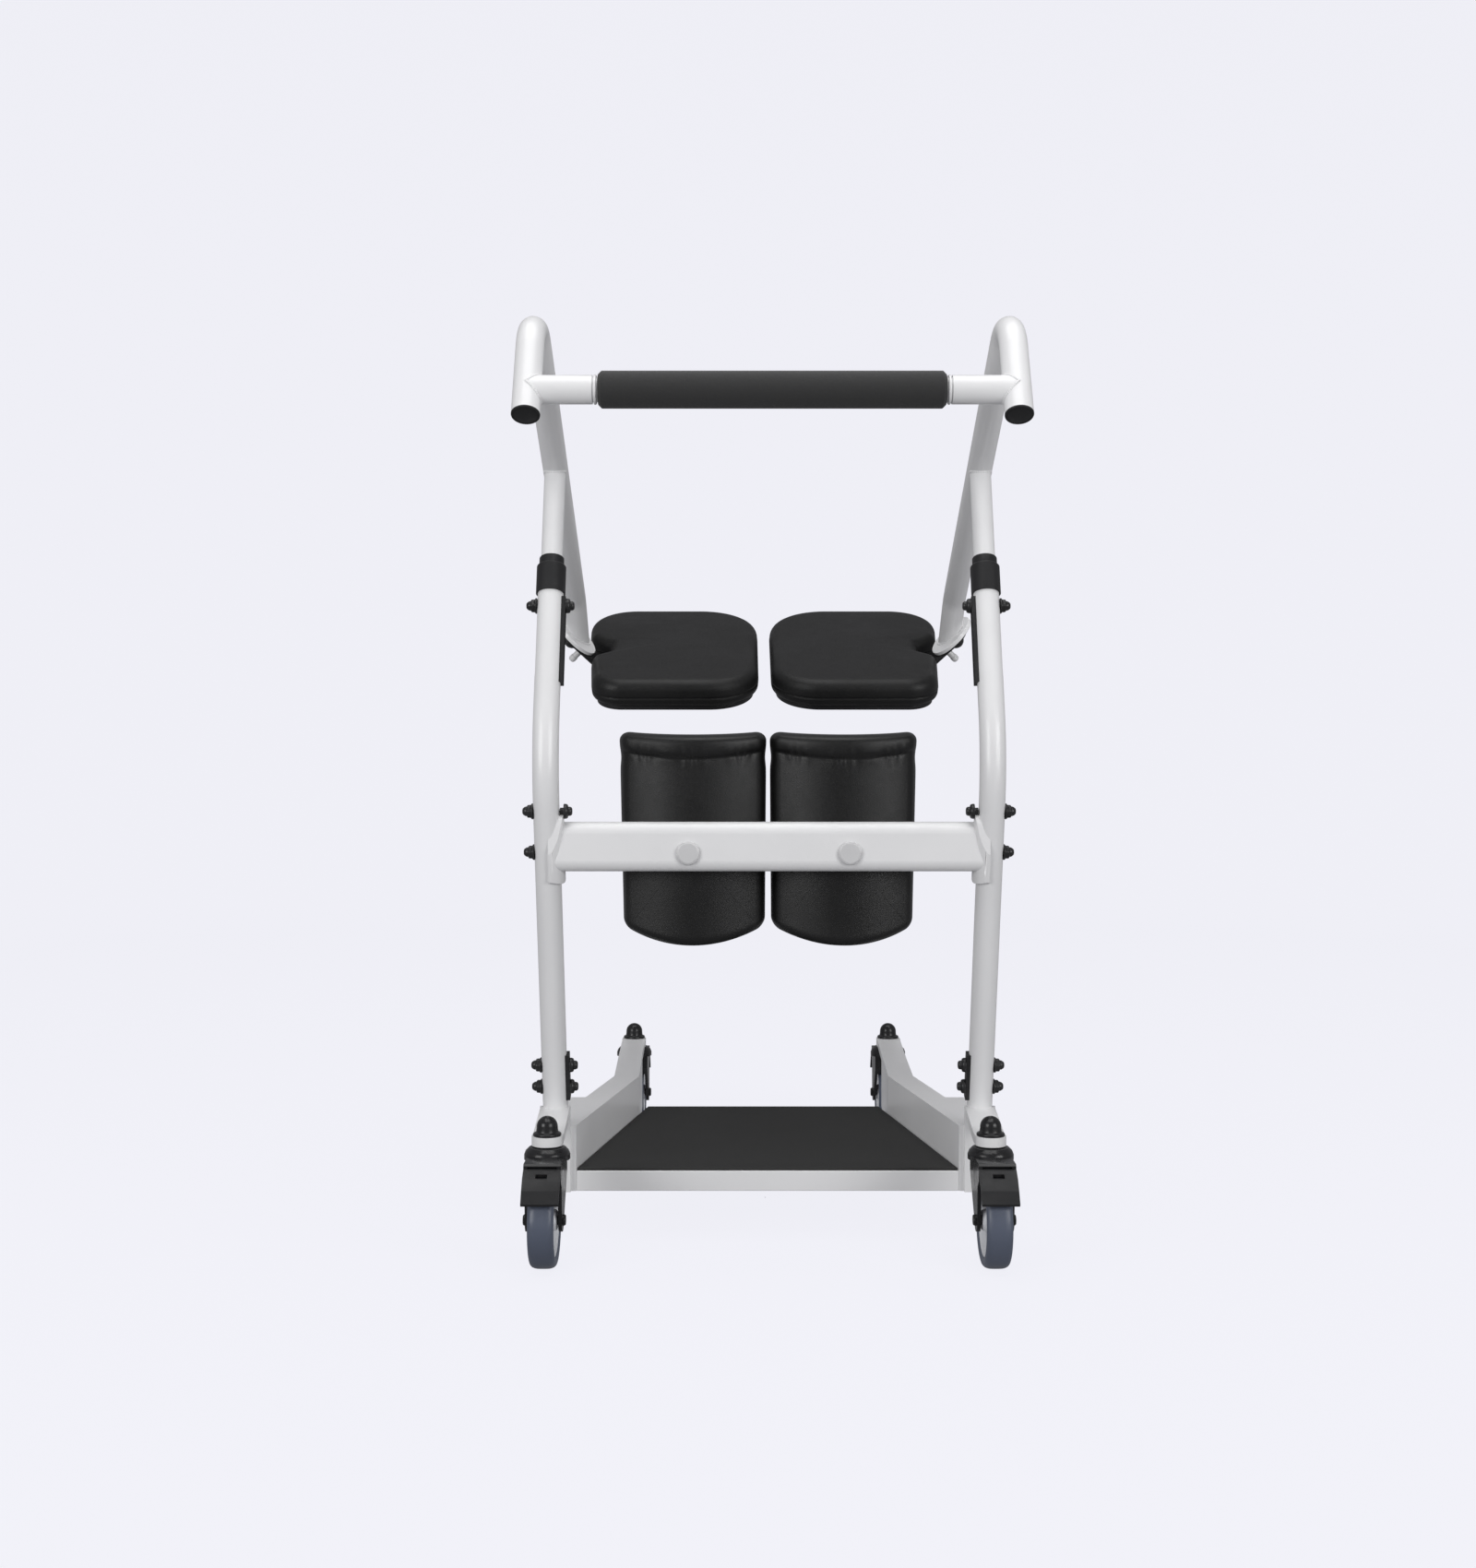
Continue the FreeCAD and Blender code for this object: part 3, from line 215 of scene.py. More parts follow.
def solids(node):
    """The separate solids of an engineering node, as a list of arrays of their points."""
    made = bmesh.new()
    made.from_mesh(frame["nodes"][node].data)
    bmesh.ops.remove_doubles(made, verts=made.verts, dist=1e-6)
    made.verts.ensure_lookup_table()
    seen, found = set(), []
    for start in made.verts:
        if start.index in seen:
            continue
        group, todo = [], [start]
        seen.add(start.index)
        while todo:
            vertex = todo.pop()
            group.append(vertex.co[:])
            for edge in vertex.link_edges:
                other = edge.other_vert(vertex)
                if other.index not in seen:
                    seen.add(other.index)
                    todo.append(other)
        found.append(np.array(group))
    made.free()
    return found


def mirrored(grids):
    """The same grids on the other side of the object: x changes its sign."""
    return [grid * np.array([-1.0, 1, 1]) for grid in grids]


CORNERS = ("front_left", "front_right", "rear_left", "rear_right")

# %% [markdown]
# ## Shared effects
# Four effects turn up in more than one finish, so each is a node group: the orange peel of powder coat, the
# pebble grain of vinyl with painted shade in its creases, the pores of foam and rubber, and the wear and dust
# that gather on edges and tops.
# They give out heights and masks only. The shader itself stays in each material.

# %% Node helpers
def add_node(tree, kind, links=(), **settings):
    """A node with its properties set; links are (input, value or output socket)."""
    node = tree.nodes.new(kind)
    for key, value in settings.items():
        setattr(node, key, value)
    for key, value in dict(links).items():
        if isinstance(value, bpy.types.NodeSocket):
            tree.links.new(value, node.inputs[key])
        else:
            node.inputs[key].default_value = value
    return node


def new_group(name, inputs, outputs):
    """An empty shader group with float inputs (name, default) and float outputs."""
    tree = bpy.data.node_groups.new(name, "ShaderNodeTree")
    for label, value in inputs:
        tree.interface.new_socket(label, in_out="INPUT", socket_type="NodeSocketFloat").default_value = value
    for label in outputs:
        tree.interface.new_socket(label, in_out="OUTPUT", socket_type="NodeSocketFloat")
    return tree, tree.nodes.new("NodeGroupInput"), tree.nodes.new("NodeGroupOutput")


def noise(tree, where, scale, detail=2.0, rough=0.5):
    """A noise texture's value; scale may be a number or a socket."""
    return add_node(tree, "ShaderNodeTexNoise",
                    {"Vector": where, "Scale": scale, "Detail": detail, "Roughness": rough}).outputs["Fac"]


def maths(tree, operation, first, second):
    """One Math node."""
    return add_node(tree, "ShaderNodeMath", {0: first, 1: second}, operation=operation).outputs[0]


def remap(tree, value, low, high, to_low=0.0, to_high=1.0, smooth=True):
    """Value taken from low..high to to_low..to_high and held at both ends."""
    return add_node(tree, "ShaderNodeMapRange",
                    {"Value": value, "From Min": low, "From Max": high, "To Min": to_low, "To Max": to_high},
                    interpolation_type="SMOOTHSTEP" if smooth else "LINEAR").outputs["Result"]

# %% Orange peel, grain, pores, wear
def orange_peel_group():
    """Powder coat: a soft ripple about 1/Scale m wide, a slow change of tone and of gloss."""
    tree, given, out = new_group("Orange peel", [("Scale", 380.0)], ["Height", "Tone", "Gloss"])
    where = add_node(tree, "ShaderNodeTexCoord").outputs["Object"]
    ripple = noise(tree, where, given.outputs["Scale"], 1.0, 0.4)
    tree.links.new(ripple, out.inputs["Height"])
    tree.links.new(remap(tree, noise(tree, where, 7.0, 3.0), 0.3, 0.7), out.inputs["Tone"])
    tree.links.new(remap(tree, noise(tree, where, 55.0, 3.0, 0.6), 0.3, 0.7), out.inputs["Gloss"])
    return tree


def grain_and_crease_shade_group():
    """Vinyl: cells about 1/Scale m wide from a warped Voronoi, with finer creases over them. The crease mask
    is painted shade: it darkens the colour between the cells.
    """
    tree, given, out = new_group("Pebble grain and crease shade", [("Scale", 700.0), ("Warp", 0.0006)],
                                 ["Height", "CreaseShade", "Patch"])
    where = add_node(tree, "ShaderNodeTexCoord").outputs["Object"]
    warp = add_node(tree, "ShaderNodeTexNoise",
                    {"Vector": where, "Scale": 260.0, "Detail": 2.0}).outputs["Color"]
    moved = add_node(tree, "ShaderNodeVectorMath", {0: warp, 3: given.outputs["Warp"]},
                     operation="SCALE").outputs[0]
    bent = add_node(tree, "ShaderNodeVectorMath", {0: where, 1: moved}, operation="ADD").outputs[0]
    cells = add_node(tree, "ShaderNodeTexVoronoi", {"Vector": bent, "Scale": given.outputs["Scale"]},
                     feature="DISTANCE_TO_EDGE").outputs["Distance"]
    pebble = remap(tree, cells, 0.0, 0.32)
    fine = noise(tree, where, 2400.0, 2.0)
    height = maths(tree, "MULTIPLY_ADD", fine, 0.18)
    tree.links.new(pebble, height.node.inputs[2])
    tree.links.new(height, out.inputs["Height"])
    # Painted shade: through this mask the creases between cells get the darker colour.
    tree.links.new(maths(tree, "SUBTRACT", 1.0, pebble), out.inputs["CreaseShade"])
    tree.links.new(remap(tree, noise(tree, where, 18.0, 3.0, 0.6), 0.3, 0.7), out.inputs["Patch"])
    return tree


def pores_group():
    """Foam and rubber: tight round pits about 1/Scale m apart over a coarser unevenness."""
    tree, given, out = new_group("Pores", [("Scale", 1500.0)], ["Height", "Fleck"])
    where = add_node(tree, "ShaderNodeTexCoord").outputs["Object"]
    pit = add_node(tree, "ShaderNodeTexVoronoi",
                   {"Vector": where, "Scale": given.outputs["Scale"]}).outputs["Distance"]
    coarse = noise(tree, where, 240.0, 3.0, 0.6)
    mixed = maths(tree, "MULTIPLY", remap(tree, pit, 0.05, 0.55), coarse)
    tree.links.new(mixed, out.inputs["Height"])
    tree.links.new(remap(tree, noise(tree, where, 900.0, 4.0, 0.7), 0.45, 0.75), out.inputs["Fleck"])
    return tree


def wear_group():
    """Edge: where the surface is sharply convex, broken up by noise. Dust: faces that look up, in patches."""
    tree, given, out = new_group("Wear and dust", [("Sharpness", 0.53)], ["Edge", "Dust"])
    where = add_node(tree, "ShaderNodeTexCoord").outputs["Object"]
    shape = add_node(tree, "ShaderNodeNewGeometry")
    limit = maths(tree, "ADD", given.outputs["Sharpness"], 0.06)
    edge = add_node(tree, "ShaderNodeMapRange", {"Value": shape.outputs["Pointiness"],
                    "From Min": given.outputs["Sharpness"], "From Max": limit}).outputs["Result"]
    scuffs = remap(tree, noise(tree, where, 130.0, 4.0, 0.7), 0.45, 0.62)
    tree.links.new(maths(tree, "MULTIPLY", edge, scuffs), out.inputs["Edge"])
    up = add_node(tree, "ShaderNodeSeparateXYZ", {0: shape.outputs["Normal"]}).outputs["Z"]
    patches = remap(tree, noise(tree, where, 30.0, 5.0, 0.65), 0.35, 0.75)
    tree.links.new(maths(tree, "MULTIPLY", remap(tree, up, 0.4, 1.0), patches), out.inputs["Dust"])
    return tree


GROUPS = {"peel": orange_peel_group(), "grain": grain_and_crease_shade_group(), "pores": pores_group(), "wear": wear_group()}
print("shared effects:", ", ".join(GROUPS))

# %% [markdown]
# ## Finishes
# Each finish is one material. Its two base colours are close together and a slow noise moves between them,
# roughness varies the same way, and a Bump node carries the fine relief at its real depth in metres. On vinyl
# the grain's creases pick the darker colour instead, as painted shade.

# %% Finish helper
def finish(name, dark, light, rough, effect, depth, effect_scale=None, wear=0.0, dust=0.0,
           worn=(0.3, 0.3, 0.3), **shader_values):
    """A Principled material: colours dark..light and roughness rough[0]..rough[1] follow the masks."""
    material = bpy.data.materials.new(name)
    material.use_nodes = True
    tree = material.node_tree
    shader = tree.nodes["Principled BSDF"]
    for key, value in shader_values.items():
        shader.inputs[key.replace("_", " ")].default_value = value
    group = add_node(tree, "ShaderNodeGroup", node_tree=GROUPS[effect])
    if effect_scale:
        group.inputs["Scale"].default_value = effect_scale
    # On vinyl the tone follows the grain's crease mask, so the darker colour is painted shade in the creases.
    tone, gloss = {"peel": ("Tone", "Gloss"), "grain": ("CreaseShade", "Patch"),
                   "pores": ("Fleck", "Fleck")}[effect]
    mix = add_node(tree, "ShaderNodeMix", {6: (*dark, 1), 7: (*light, 1)}, data_type="RGBA")
    tree.links.new(group.outputs[tone], mix.inputs[0])
    colour = mix.outputs[2]
    if wear or dust:
        marks = add_node(tree, "ShaderNodeGroup", node_tree=GROUPS["wear"])
        amount = maths(tree, "MAXIMUM", maths(tree, "MULTIPLY", marks.outputs["Edge"], wear),
                       maths(tree, "MULTIPLY", marks.outputs["Dust"], dust))
        second = add_node(tree, "ShaderNodeMix", {0: amount, 6: colour, 7: (*worn, 1)}, data_type="RGBA")
        colour = second.outputs[2]
    tree.links.new(colour, shader.inputs["Base Color"])
    roughness = remap(tree, group.outputs[gloss], 0.0, 1.0, rough[0], rough[1], False)
    tree.links.new(roughness, shader.inputs["Roughness"])
    bump = add_node(tree, "ShaderNodeBump",
                    {"Strength": 1.0, "Distance": depth, "Height": group.outputs["Height"]})
    tree.links.new(bump.outputs["Normal"], shader.inputs["Normal"])
    return material


# %% Finishes
FINISH = {
    "white_paint": finish("white_powder_coat", (0.81, 0.81, 0.815), (0.84, 0.84, 0.845), (0.28, 0.36), "peel",
                          0.000005, Coat_Weight=0.2, Coat_Roughness=0.14),
    "black_bolts": finish("blackened_steel", (0.012, 0.012, 0.013), (0.022, 0.022, 0.023), (0.26, 0.42),
                          "peel", 0.00003, effect_scale=900.0, wear=0.5, worn=(0.16, 0.16, 0.165),
                          Coat_Weight=0.2, Specular_IOR_Level=0.32),
    "black_plastic": finish("black_moulded_plastic", (0.011, 0.011, 0.012), (0.018, 0.018, 0.019),
                            (0.38, 0.5), "peel", 0.00005, effect_scale=1400.0, wear=0.2,
                            worn=(0.05, 0.05, 0.05), Specular_IOR_Level=0.32),
    "gloss_black": finish("black_gloss_plastic", (0.010, 0.010, 0.011), (0.015, 0.015, 0.016), (0.22, 0.32),
                          "peel", 0.00002, effect_scale=500.0, Coat_Weight=0.15, Coat_Roughness=0.12,
                          Specular_IOR_Level=0.32),
    "black_steel": finish("black_powder_coat", (0.011, 0.011, 0.012), (0.018, 0.018, 0.018), (0.4, 0.5),
                          "peel", 0.00005, effect_scale=600.0, wear=0.3, worn=(0.10, 0.10, 0.10),
                          Specular_IOR_Level=0.32),
    "grey_caps": finish("grey_cover_caps", (0.60, 0.60, 0.605), (0.66, 0.66, 0.665), (0.34, 0.44), "peel",
                        0.00002, effect_scale=900.0),
    "grip_foam": finish("grip_foam", (0.022, 0.022, 0.022), (0.034, 0.034, 0.034), (0.82, 0.95), "pores",
                        0.00022, effect_scale=1500.0, dust=0.06, worn=(0.09, 0.09, 0.09), Sheen_Weight=0.12,
                        Sheen_Roughness=0.5),
    # Both vinyls are darker in the grain's creases: painted shade.
    "seat_vinyl": finish("seat_vinyl", (0.011, 0.011, 0.0108), (0.007, 0.007, 0.007), (0.40, 0.50), "grain",
                         0.00008, effect_scale=560.0, Specular_IOR_Level=0.30),
    "knee_vinyl": finish("knee_pad_vinyl", (0.010, 0.010, 0.010), (0.006, 0.006, 0.006), (0.34, 0.44),
                         "grain", 0.00006, effect_scale=800.0, Specular_IOR_Level=0.34),
    "rubber_mat": finish("rubber_mat", (0.036, 0.036, 0.0355), (0.048, 0.048, 0.047), (0.8, 0.92), "pores",
                         0.00015, effect_scale=700.0, dust=0.04, worn=(0.08, 0.078, 0.075),
                         Specular_IOR_Level=0.2),
    "tyre": finish("tyre_polyurethane", (0.085, 0.100, 0.140), (0.100, 0.117, 0.162), (0.34, 0.46), "peel",
                   0.00005, effect_scale=240.0, dust=0.05, worn=(0.16, 0.16, 0.17)),
    "hub_plastic": finish("hub_plastic", (0.68, 0.69, 0.72), (0.75, 0.76, 0.79), (0.3, 0.42), "peel",
                          0.00003, effect_scale=700.0, dust=0.06, worn=(0.5, 0.49, 0.48)),
}
print(len(FINISH), "finishes")

# %% [markdown]
# ## Finishes on the engineering model
# Most of the steel keeps its engineering mesh, which is already smooth. Each node takes the finish of its
# slot in the record. Soft pieces, turned pieces and pressed plates are replaced further down.

# %% Put the finishes on the nodes
SLOT_OF = {row["node"]: row["material_slot"] for row in frame["record"]["subparts"]}
SLOT_FINISH = dict(FINISH, black_vinyl=FINISH["seat_vinyl"])
for node, obj in frame["nodes"].items():
    obj.data.materials.clear()
    obj.data.materials.append(SLOT_FINISH[SLOT_OF[node]])
print("finishes on", len(frame["nodes"]), "nodes")

# %% [markdown]
# ## Soft edges on plates and castings
# Sheet, box section and moulded parts never end in a knife edge. Each gets a copy of its engineering mesh:
# the loose triangles are merged, flat neighbours are dissolved, and a Bevel modifier rounds the edges by
# the radius that such a part has.

# %% Soft edges
EDGE_STEPS, SHARP_FROM = 3, 28.0


def softened(node, width):
    """A merged copy of a node with rounded edges, shown in its place."""
    made = bmesh.new()
    made.from_mesh(frame["nodes"][node].data)
    bmesh.ops.remove_doubles(made, verts=made.verts, dist=2e-6)
    bmesh.ops.dissolve_limit(made, angle_limit=math.radians(0.6), verts=made.verts, edges=made.edges)
    mesh = bpy.data.meshes.new(node + "_edged")
    made.to_mesh(mesh)
    made.free()
    body = frame["nodes"][node]["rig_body"]
    slot = SLOT_OF[node]
    obj = finished(node + "_edged", mesh, body, SLOT_FINISH[slot], SHARP_FROM)
    bevel = obj.modifiers.new("edge radius", "BEVEL")
    bevel.width, bevel.segments = width, EDGE_STEPS
    bevel.limit_method, bevel.angle_limit = "ANGLE", math.radians(SHARP_FROM)
    bevel.harden_normals = True
    bevel.use_clamp_overlap = True
    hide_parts(node)
    return obj


EDGE_RADII = {"base_leg": 0.0025, "front_bracket": 0.0015, "front_cross_rail": 0.0012,
              "rear_cross_rail": 0.0012, "footplate_pan": 0.0008, "footplate_mat": 0.0008,
              "caster_fork": 0.0012, "brake_pedal": 0.0010,
              "height_collars": 0.0008, "seat_hinge_disc": 0.0009, "seat_hinge_plate": 0.0012,
              "knee_beam_saddles": 0.0010, "slot_strips": 0.0008, "base_bolt_strips": 0.0008,
              "seat_board": 0.0015}
for node in sorted(frame["nodes"]):
    for prefix, radius in EDGE_RADII.items():
        if node.startswith(prefix):
            softened(node, radius)

# %% [markdown]
# ## Foam grip
# A length of dark foam tube is pushed over the bar. Its ends are cut with a bevel and the skin is rolled in
# to the bar. It is a turned surface.

# %% Foam grip
low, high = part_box("foam_grip")
GRIP_R = (high.z - low.z) / 2
GRIP_AT = (0, (low.y + high.y) / 2, (low.z + high.z) / 2)
BAR_R = 0.012
half_length = high.x
line = filleted([(BAR_R + 0.0002, -half_length + 0.004, 0), (BAR_R + 0.0012, -half_length, 0.0008),
                 (GRIP_R - 0.0035, -half_length, 0.0005), (GRIP_R, -half_length + 0.0035, 0.0006),
                 (GRIP_R, half_length - 0.0035, 0.0006), (GRIP_R - 0.0035, half_length, 0.0005),
                 (BAR_R + 0.0012, half_length, 0.0008), (BAR_R + 0.0002, half_length - 0.004, 0)])
grip = piece("foam_grip_skin", "upper_frame", FINISH["grip_foam"],
             [lathe(line, GRIP_AT, (1, 0, 0), 96)], sharp=35)
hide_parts("foam_grip")
print("foam grip", round(2 * half_length, 3), "m long,", round(2 * GRIP_R, 3), "m thick")

# %% Rings at the ends of the sleeves
RING_R, RING_FROM, RING_TO = 0.0143, 0.1695, 0.1722
ring_line = filleted([(BAR_R + 0.0001, RING_FROM, 0), (RING_R - 0.0006, RING_FROM, 0.0003),
                      (RING_R, RING_FROM + 0.0006, 0.0004), (RING_R, RING_TO - 0.0006, 0.0004),
                      (RING_R - 0.0006, RING_TO, 0.0003), (BAR_R + 0.0001, RING_TO, 0)])
ring_grid = lathe(ring_line, GRIP_AT, (1, 0, 0), 64)
piece("sleeve_end_rings", "upper_frame", FINISH["white_paint"],
      [ring_grid] + mirrored([ring_grid]), wrap_rows=True, sharp=40)
print("a ring at each end of the grip")

# %% [markdown]
# ## Cap nuts, bolt heads and end caps
# All are turned parts: a profile of a few corners, each rounded, is spun round its axis. The nuts are
# six-sided lower down, so their radius also follows the hexagon r = a / cos(angle to the nearest flat).

# %% Turned hardware
def hex_lathe(profile, sixness, origin, axis, segments=72):
    """A turned surface whose radius is blended with a hexagon of the same width, by sixness per row."""
    grid = lathe(profile, (0, 0, 0), (0, 0, 1), segments)
    angle = np.linspace(0, 2 * math.pi, segments, endpoint=False)
    flat = np.cos(math.pi / 6) / np.cos((angle + math.pi / 6) % (math.pi / 3) - math.pi / 6)
    share = 1 + sixness[:, None] * (np.minimum(flat * 1.09, 1.035) - 1)
    axis = np.array(axis, float) / np.linalg.norm(axis)
    u, v = square_to(axis)
    grid[..., :2] *= share[..., None]
    return np.array(origin) + grid[..., :1] * u + grid[..., 1:2] * v + grid[..., 2:] * axis


HEAD_LONG, NUT_LONG = 0.009, 0.0115
HEAD_R, NUT_R, SHANK_R = 0.008, 0.0085, 0.0039


def tube_bolt(points):
    """A bolt across a tube, from the place of its engineering solid: domed head inside, cap nut outside."""
    side = np.sign(points[:, 0].mean())
    centre = (points.min(0) + points.max(0)) / 2
    inner, outer = sorted((points[:, 0].min(), points[:, 0].max()), key=abs)
    head_face, nut_face = inner + side * HEAD_LONG, outer - side * NUT_LONG
    out = (side, 0, 0)
    head = filleted([(0, -HEAD_LONG, 0), (HEAD_R * 0.45, -HEAD_LONG, 0.002),
                     (HEAD_R * 0.62, -HEAD_LONG + 0.002, 0.001), (HEAD_R * 0.62, -0.0048, 0.0006),
                     (HEAD_R * 0.9, -0.0042, 0.0008), (HEAD_R, -0.0025, 0.001),
                     (HEAD_R, 0, 0.0003), (SHANK_R, 0, 0), (SHANK_R, 0.004, 0)])
    nut = filleted([(SHANK_R, -0.002, 0), (SHANK_R, 0, 0), (NUT_R, 0, 0.0003), (NUT_R, 0.0016, 0.0006),
                    (NUT_R * 0.86, 0.0021, 0.0005), (NUT_R * 0.84, 0.0058, 0.0008),
                    (NUT_R * 0.62, 0.0066, 0.0006), (NUT_R * 0.60, 0.0085, 0.0014),
                    (NUT_R * 0.36, NUT_LONG, 0.0022), (0, NUT_LONG, 0)])
    six = np.exp(-((nut[:, 1] - 0.0040) / 0.0022) ** 4) * (nut[:, 0] > NUT_R * 0.55)
    return [lathe(head, (head_face, centre[1], centre[2]), out),
            hex_lathe(nut, six, (nut_face, centre[1], centre[2]), out)]


for node in ("base_bolts", "knee_beam_bolts", "height_bolts"):
    grids = [grid for points in solids(node) for grid in tube_bolt(points)]
    obj = piece(node + "_turned", frame["nodes"][node]["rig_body"], FINISH["black_bolts"],
                grids, sharp=40)
    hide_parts(node)
    print(node, len(grids) // 2, "bolts")

# %% Caps in the open ends of the hoops
CAP_R, CAP_RIM, PLUG_LONG = 0.014, 0.0025, 0.011


def end_cap(points):
    """A domed cover with a thin rim; its axis runs from the plug to the dome, down the leg of the hoop."""
    middle = points.mean(0)
    spread = points - middle
    axis = np.linalg.svd(spread, full_matrices=False)[2]
    lengths = [np.ptp(spread @ a) for a in axis]
    plug = axis[int(np.argmin(lengths))]
    plug = plug * (-np.sign(plug[2]) or 1.0)
    front = (spread @ plug).max()
    centre = middle + plug * front
    across = spread - np.outer(spread @ plug, plug)
    rim = across[np.linalg.norm(across, axis=1) > CAP_R * 0.9].mean(0)
    line = filleted([(0, 0.0004, 0), (CAP_R * 0.5, 0.0001, 0.002), (CAP_R * 0.84, -0.0009, 0.001),
                     (CAP_R * 0.87, -0.0013, 0.0003), (CAP_R * 0.93, -0.0004, 0.0006),
                     (CAP_R, -0.0010, 0.0006), (CAP_R + 0.0001, -CAP_RIM, 0.0002),
                     (CAP_R * 0.8, -CAP_RIM - 0.0003, 0), (CAP_R * 0.8, -PLUG_LONG, 0), (0, -PLUG_LONG, 0)])
    return lathe(line, centre + rim, plug, 64)


caps = piece("tube_end_caps_domed", "upper_frame", FINISH["black_plastic"],
             [end_cap(points) for points in solids("tube_end_caps")], sharp=50)
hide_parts("tube_end_caps")

# %% Caps over the knee pad bolts
COVER_NUT_R, COVER_NUT_LONG, COVER_TALL = 0.0075, 0.006, 0.0040


def cover_cap(points):
    """A flat grey disc with a soft rim over the bolt, its shank and nut behind the beam; the axis is +Y."""
    low, high = points.min(0), points.max(0)
    r = (high[0] - low[0]) / 2
    centre = ((low[0] + high[0]) / 2, low[1], (low[2] + high[2]) / 2)
    deep = high[1] - low[1]
    nut_from = deep - COVER_NUT_LONG
    line = filleted([(0, 0, 0), (r * 0.84, 0, 0.001), (r * 0.88, 0.0005, 0.0006), (r * 0.97, 0.0008, 0.001),
                     (r, 0.0022, 0.0008), (r, COVER_TALL, 0.0002), (SHANK_R, COVER_TALL, 0),
                     (SHANK_R, nut_from, 0), (COVER_NUT_R, nut_from, 0.0004),
                     (COVER_NUT_R, deep - 0.0006, 0.0008), (0, deep, 0)])
    return lathe(line, centre, (0, 1, 0), 64)


covers = piece("knee_pad_cover_caps", "base", FINISH["grey_caps"],
               [cover_cap(points) for points in solids("knee_pad_bolts")], sharp=50)
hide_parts("knee_pad_bolts")
print("end caps and cover caps are in")

# %% [markdown]
# ## Casters
# A caster has a grey-blue tyre moulded round a white hub, a glossy swivel head and a domed nut on its stem.
# Tyre, hub and nut are turned. The tread is nearly flat and falls away at both shoulders.

# %% Tyres and hubs
TYRE_R, TYRE_HALF, RIM_R = 0.050, 0.014, 0.038
HUB_BORE_R, HUB_HALF = 0.00505, 0.0138


def tyre_line():
    """Half round shoulders and a tread crowned by 0.6 mm; the sides bulge and meet the rim in a lip."""
    side = [(RIM_R, 0.0112, 0), (RIM_R + 0.0008, 0.0122, 0.0006), (RIM_R + 0.003, 0.0132, 0.0015),
            (TYRE_R - 0.005, TYRE_HALF, 0.002), (TYRE_R - 0.0018, 0.0118, 0.0026),
            (TYRE_R - 0.0002, 0.0075, 0.003)]
    left = [(r, -h, reach) for r, h, reach in side]
    return filleted(left + [(TYRE_R, 0, 0.004)] + side[::-1])


def hub_line():
    """The moulded wheel centre from bore to rim, the same on both sides."""
    side = [(HUB_BORE_R, HUB_HALF, 0), (0.0095, HUB_HALF, 0.0006), (0.0108, 0.0125, 0.0006),
            (0.0122, 0.0072, 0.0015), (0.0310, 0.0062, 0.002), (0.0345, 0.0118, 0.0012),
            (0.0365, 0.0122, 0.0006), (RIM_R - 0.0001, 0.0118, 0.0003)]
    left = [(r, -h, reach) for r, h, reach in side]
    return filleted(left + side[::-1] + [(HUB_BORE_R, -HUB_HALF, 0)])


for corner in CORNERS:
    axle = np.array(JOINTS["wheel_spin_" + corner]["pos_m"])
    tyre = piece("tyre_" + corner, "wheel_" + corner, FINISH["tyre"],
                 [lathe(tyre_line(), axle, (1, 0, 0), 96)], sharp=60)
    hub = piece("hub_" + corner, "wheel_" + corner, FINISH["hub_plastic"],
                [lathe(hub_line(), axle, (1, 0, 0), 72)], sharp=50)
    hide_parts("caster_tyre_" + corner)
    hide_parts("caster_hub_" + corner)
print("four wheels", 2 * TYRE_R, "m across")

# %% Domed nuts on the caster stems
DOME_R, FLANGE_R, STEM_R, NUT_TALL = 0.0113, 0.015, 0.006, 0.021


def stem_nut(points):
    """Flange, six-sided collar and a half-round dome on top of the stem."""
    low, high = points.min(0), points.max(0)
    centre = ((low[0] + high[0]) / 2, (low[1] + high[1]) / 2, low[2])
    tall = high[2] - low[2]
    flange = tall - NUT_TALL
    angle = np.linspace(0, math.pi / 2, 14)
    dome = np.stack([DOME_R * np.cos(angle), tall - DOME_R + DOME_R * np.sin(angle)], 1)
    line = filleted([(0, 0, 0), (STEM_R, 0, 0), (STEM_R, flange, 0), (FLANGE_R, flange, 0.0004),
                     (FLANGE_R, flange + 0.0028, 0.001), (0.0128, flange + 0.0038, 0.0006),
                     (0.0118, flange + 0.0044, 0.0004), (0.0114, flange + 0.0075, 0)])
    line = np.concatenate([line, dome])
    return lathe(line, centre, (0, 0, 1), 64)


nuts = piece("caster_stem_nuts", "base", FINISH["gloss_black"],
             [stem_nut(points) for points in solids("caster_stems")], sharp=50)
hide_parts("caster_stems")
print("four stem nuts")

# %% [markdown]
# ## Pads
# A seat half and a knee pad are made alike. A rounded outline is walked round, and a cross-section is
# carried along it: up over the crowned face, round the edge, and back underneath. The outline's own normal
# says which way the edge rolls.

